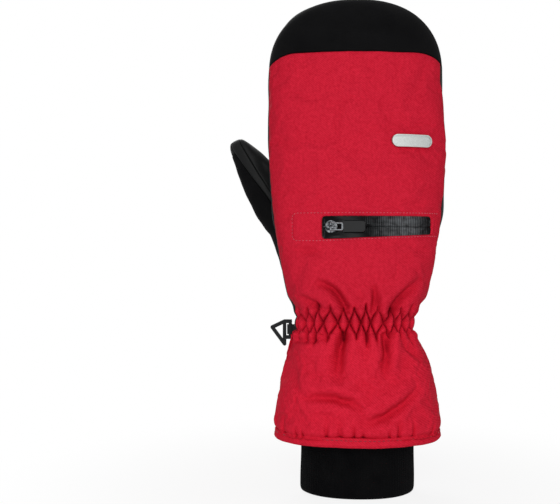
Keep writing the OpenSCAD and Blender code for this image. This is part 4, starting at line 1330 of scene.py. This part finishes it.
def coated_tape():
    """Black coating, with the coil's ridges painted paler in the open middle of the zip: a painted
    highlight, brightest towards the pinky end.
    """
    f = Finish("coated_zip_tape", Roughness=0.2, Specular_IOR_Level=0.07)
    mottle = f.noise(260, 3)
    ridges = f.math("MULTIPLY", f.lines(coil_pitch, (0, 0, 0), 0.4), mottle)
    across = f.node("ShaderNodeSeparateXYZ", {"Vector": f.place()}).outputs["X"]
    # A band of X where the ridges are painted paler: painted highlight.
    near = f.range(across, From_Min=-0.006, From_Max=0.03)
    far = f.range(across, From_Min=0.054, From_Max=0.036)
    painted_highlight = f.math("MULTIPLY", f.mix(ridges, 1, mottle, 0.5), f.math("MULTIPLY", near, far))
    f.tint(painted_highlight, "#040405", "#6A6D70", 0.15, 0.85)
    f.rough(mottle, 0.14, 0.24)
    return f.relief(f.math("ADD", f.lines(0.7, (0, 90, 0), 0.4), mottle), 0.15, 0.08)


def metal(name, dark, light, low, high, patch=1900):
    f = Finish(name, Metallic=1.0, Roughness=0.3)
    f.mottled(patch, 3, (dark, light), (low, high), (0.4, 0.6))
    return f.relief(f.noise(2600, 2), 0.15, 0.05)


def moulded(name, dark, light, low, high, gloss=0.25):
    f = Finish(name, Roughness=0.5, Specular_IOR_Level=gloss)
    f.mottled(400, 3, (dark, light), (low, high))
    return f.relief(f.noise(3200, 2), 0.25, 0.06)


def webbing():
    f = Finish("black_webbing", Roughness=0.85, Specular_IOR_Level=0.25,
               Sheen_Weight=0.15, Sheen_Roughness=0.5)
    rows = f.lines(0.8, (0, 0, 0), 0.5)
    mottle = f.mix(rows, 0.4, f.noise(300, 2), 0.6)
    f.tint(mottle, "#0B0B0C", "#1C1D1E")
    f.rough(mottle, 0.75, 0.95)
    return f.relief(rows, 0.5, 0.2)


def thread(name, dark, light):
    f = Finish(name, Roughness=0.6, Sheen_Weight=0.2, Specular_IOR_Level=0.35)
    return f.relief(f.mottled(1600, 2, (dark, light), (0.5, 0.75)), 0.4, 0.1)


twill = red_twill("red_twill", "#BA152A", "#D6273E")
# A lighter copy of the red twill for the gauntlet and hem: painted light, for the extra light the flared
# gauntlet catches.
gauntlet_twill_painted_light = red_twill("gauntlet_twill_painted_light", "#C4162C", "#E12941")
shell_black, knit_black, tape_black, strap = softshell(), rib_knit(), coated_tape(), webbing()
leather = coated_leather("palm_leather", "#121515", "#1B1F1E")
# Darker copies of the palm leather for the thumb's inner side, edge strip and tip: painted shade, where the
# thumb lies in shadow.
shaded_thumb_leather = coated_leather("thumb_side_leather_painted_shade", "#070808", "#0E0F0F")
shaded_edge_leather = coated_leather("thumb_edge_leather_painted_shade", "#080909", "#0F1010")
fleece = lining("lining_fleece", "#2C2F31", "#45494C")
lining_black = lining("gauntlet_lining", "#101112", "#1E2021")
# gunmetal's mottle is far stronger than the metal's own: its pale patches are painted glints, standing in
# for lamp reflections on the slider and stops.
gunmetal = metal("gunmetal", "#282A2D", "#8E9194", 0.16, 0.24, 460)
steel = metal("steel", "#6A6D70", "#7E8184", 0.2, 0.28)
satin_silver = metal("satin_silver", "#ACB0AE", "#BEC2C0", 0.48, 0.56)
rubber = moulded("charcoal_rubber", "#0B0C0D", "#151617", 0.5, 0.68)
plastic = moulded("black_plastic", "#090A0B", "#151718", 0.4, 0.55, 0.1)
coil_black = moulded("coil_nylon", "#0A0A0B", "#18191A", 0.3, 0.5)
red_thread = thread("red_thread", "#AC1E36", "#D4556A")
hem_thread = thread("hem_thread", "#7A0C1C", "#A81A30")
wrist_thread = thread("wrist_thread", "#7A1024", "#A82440")
black_thread = thread("black_thread", "#0A0A0B", "#1C1D1E")


# The pieces, what they stand for, and what they move with

def dress(piece, finish, slot, *nodes, fill=None):
    piece.data.materials.append(finish.material)
    if nodes:
        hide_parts(*nodes)
    return piece


def dress_hand(piece, finish, slot, *nodes, fill=None):
    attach(dress(piece, finish, slot, *nodes, fill=fill), "mitten")


dress_hand(make_back_panel(), twill, "shell_red", "back_panel", "insulation_back", "pocket_bag", fill=0.6)
dress_hand(make_cap(), shell_black, "softshell_black", "fingertip_cap", fill=0.6)
dress_hand(make_palm_upper(), leather, "palm_leather", "palm_upper", fill=0.6)
dress_hand(make_palm_lower(), leather, "palm_leather", "palm_lower", "insulation_palm", fill=0.6)
dress_hand(make_wall(1), leather, "palm_leather", "finger_wall_pinky_side", fill=0.6)
dress_hand(make_wall(-1), leather, "palm_leather", "finger_wall_thumb_side", fill=0.6)
# The gauntlet halves and the hem take the lighter, painted-light copy of the twill.
dress_hand(make_gauntlet(BACK), gauntlet_twill_painted_light, "shell_red", "gauntlet_back", "wrist_elastic", fill=0.4)
dress_hand(make_gauntlet(PALM), gauntlet_twill_painted_light, "shell_red", "gauntlet_palm", fill=0.4)
dress_hand(make_gauntlet_lining(), lining_black, "lining_cloth", "gauntlet_lining")
dress_hand(make_hem(), gauntlet_twill_painted_light, "shell_red", "cuff_hem")
dress_hand(make_knit(), knit_black, "rib_knit", "knit_cuff")
dress_hand(make_hand_lining(), fleece, "lining_fleece", "hand_lining")
dress_hand(make_tape(1), tape_black, "zip_tape", "zipper_tape_upper")
dress_hand(make_tape(-1), tape_black, "zip_tape", "zipper_tape_lower")
dress_hand(make_zip_stitches(), red_thread, "shell_red")
dress_hand(make_hem_stitches(), hem_thread, "shell_red")
dress_hand(make_palm_stitches(), black_thread, "palm_leather")
dress_hand(make_wrist_threads(), wrist_thread, "shell_red")
dress_hand(make_tab(), strap, "webbing")


def dress_thumb(piece, finish, slot, *nodes):
    dress(piece, finish, slot, *nodes, fill=0.6)
    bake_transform(piece)


outer = skin("thumb_outer_skin", thumb_panel(strip_outer, back_seam, thumb_cap_s), trim_t, "lrbt", 1.1)
strip = skin("thumb_strip_skin", thumb_panel(strip_inner, strip_outer, pitch=0.7), trim_t, "lrb", 1.0)
edge = skin("thumb_edge_skin", thumb_panel(back_seam, edge_seam, pitch=0.8), trim_t, "lrb", 1.1)
inner = skin("thumb_inner_skin", thumb_panel(edge_seam, palm_side_seam), trim_t, "lrb", 1.1)
gusset = skin("thumb_gusset_skin", thumb_panel(palm_side_seam, strip_again), trim_t, "lrb", 1.1)
dress_thumb(outer, shell_black, "softshell_black", "thumb_outer_panel", "thumb_insulation", "thumb_lining")
dress_thumb(strip, leather, "palm_leather")
# The edge strip, inner side and tip take the painted-shade copies of the palm leather.
dress_thumb(edge, shaded_edge_leather, "palm_leather")
dress_thumb(inner, shaded_thumb_leather, "palm_leather", "thumb_inner_panel", "thumb_sleeve")
dress_thumb(gusset, leather, "palm_leather", "thumb_gusset")
dress_thumb(make_thumb_tip(), shaded_edge_leather, "palm_leather")


# Hard pieces keep their own shape, with eased edges and a finish

def finish_node(node, finish, edge=0.0):
    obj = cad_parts[node]
    obj.data.materials.clear()
    obj.data.materials.append(finish.material)
    if edge:
        bevel = obj.modifiers.new("eased edges", "BEVEL")
        bevel.width = edge * MM
        bevel.segments = 2
        bevel.limit_method = "ANGLE"
        bevel.angle_limit = math.radians(35)


finish_node("zipper_coil_upper", coil_black)
finish_node("zipper_coil_lower", coil_black)
finish_node("zipper_stops", gunmetal, 0.1)
finish_node("zipper_slider", gunmetal, 0.35)
finish_node("pull_frame", steel, 0.2)
finish_node("pull_tab", rubber, 0.25)
finish_node("badge", satin_silver, 0.2)
finish_node("hook_loop", strap, 0.15)
finish_node("pairing_hook", plastic, 0.35)


# Camera at the photograph's angle

photo_w_px, centre_px = 560, 357
mm_per_px = 0.72
view_distance, look_height = 620, 171
sensor_w = 36
scene = bpy.context.scene

camera_data = bpy.data.cameras.new("camera")
camera_data.sensor_width = sensor_w
camera_data.lens = sensor_w * view_distance / (photo_w_px * mm_per_px)
camera = bpy.data.objects.new("camera", camera_data)
aside = (centre_px - photo_w_px / 2) * mm_per_px
camera.location = (-aside * MM, -view_distance * MM, look_height * MM)
camera.rotation_euler = (QUARTER, 0, 0)
scene.collection.objects.link(camera)
scene.camera = camera


# Studio: soft lamps, a white surround and a pale floor that keeps the shadow

def lamp(name, place, target, size, power):
    data = bpy.data.lights.new(name, "AREA")
    data.shape = "DISK"
    data.size = size
    data.energy = power
    obj = bpy.data.objects.new(name, data)
    obj.location = place
    x, y, z = np.array(target) - np.array(place)
    obj.rotation_euler = (math.atan2(math.hypot(x, y), -z), 0, math.atan2(y, x) - QUARTER)
    scene.collection.objects.link(obj)


lamp("key", (-0.15, -1.0, 0.55), (0, 0, -0.05), 0.45, 4.0)
lamp("low", (-0.05, -0.8, 0.06), (0, 0, 0.06), 0.3, 1.6)
lamp("fill", (0.7, -1.0, 0.25), (0, 0, 0.12), 0.2, 0.7)
lamp("rear", (-0.3, 1.0, 0.9), (0, 0, 0.17), 0.8, 7)


def seen_share(tree):
    """1 for rays that see the surround as it is: from the camera, in gloss and through glass."""
    path = add_node(tree, "ShaderNodeLightPath").outputs
    total = path["Is Camera Ray"]
    for name in ("Is Glossy Ray", "Is Transmission Ray"):
        total = add_node(tree, "ShaderNodeMath", {0: total, 1: path[name]}, operation="MAXIMUM").outputs[0]
    return total


world_light = 0.24
world = bpy.data.worlds.new("studio")
scene.world = world
world.use_nodes = True
sky = world.node_tree
sky_ends = {"Value": seen_share(sky), "To Min": world_light, "To Max": 1}
sky_level = add_node(sky, "ShaderNodeMapRange", sky_ends).outputs[0]
sky.nodes["Background"].inputs["Color"].default_value = (1, 1, 1, 1)
sky.links.new(sky_level, sky.nodes["Background"].inputs["Strength"])

floor_half, floor_z = 4000, -0.5
white_near, white_far, white_least = 0.06, 0.3, 0.86


def make_floor():
    """A floor that is seen white far from the object, and keeps its shadow close to it."""
    corners = np.array([(-1, -1, 0), (1, -1, 0), (1, 1, 0), (-1, 1, 0)]) * floor_half + [0, 0, floor_z]
    floor = new_object("floor", corners, [[0, 1, 2, 3]])
    material = bpy.data.materials.new("pale_floor")
    material.use_nodes = True
    tree = material.node_tree
    tree.nodes.clear()
    coords = add_node(tree, "ShaderNodeTexCoord").outputs["Object"]
    distance = add_node(tree, "ShaderNodeVectorMath", {0: coords}, operation="LENGTH").outputs["Value"]
    ends = {"Value": distance, "From Min": white_near, "From Max": white_far}
    ends.update({"To Min": white_least, "To Max": 1})
    white = add_node(tree, "ShaderNodeMapRange", ends, interpolation_type="SMOOTHSTEP").outputs[0]
    glow_share = add_node(tree, "ShaderNodeMath", {0: seen_share(tree), 1: white}, operation="MULTIPLY")
    diffuse = add_node(tree, "ShaderNodeBsdfDiffuse", {"Color": (0.9, 0.9, 0.9, 1)})
    glow = add_node(tree, "ShaderNodeEmission")
    shaders = {0: glow_share.outputs[0], 1: diffuse.outputs[0], 2: glow.outputs[0]}
    mix = add_node(tree, "ShaderNodeMixShader", shaders)
    add_node(tree, "ShaderNodeOutputMaterial", {"Surface": mix.outputs[0]})
    floor.data.materials.append(material)


make_floor()

scene.view_settings.view_transform = "Standard"
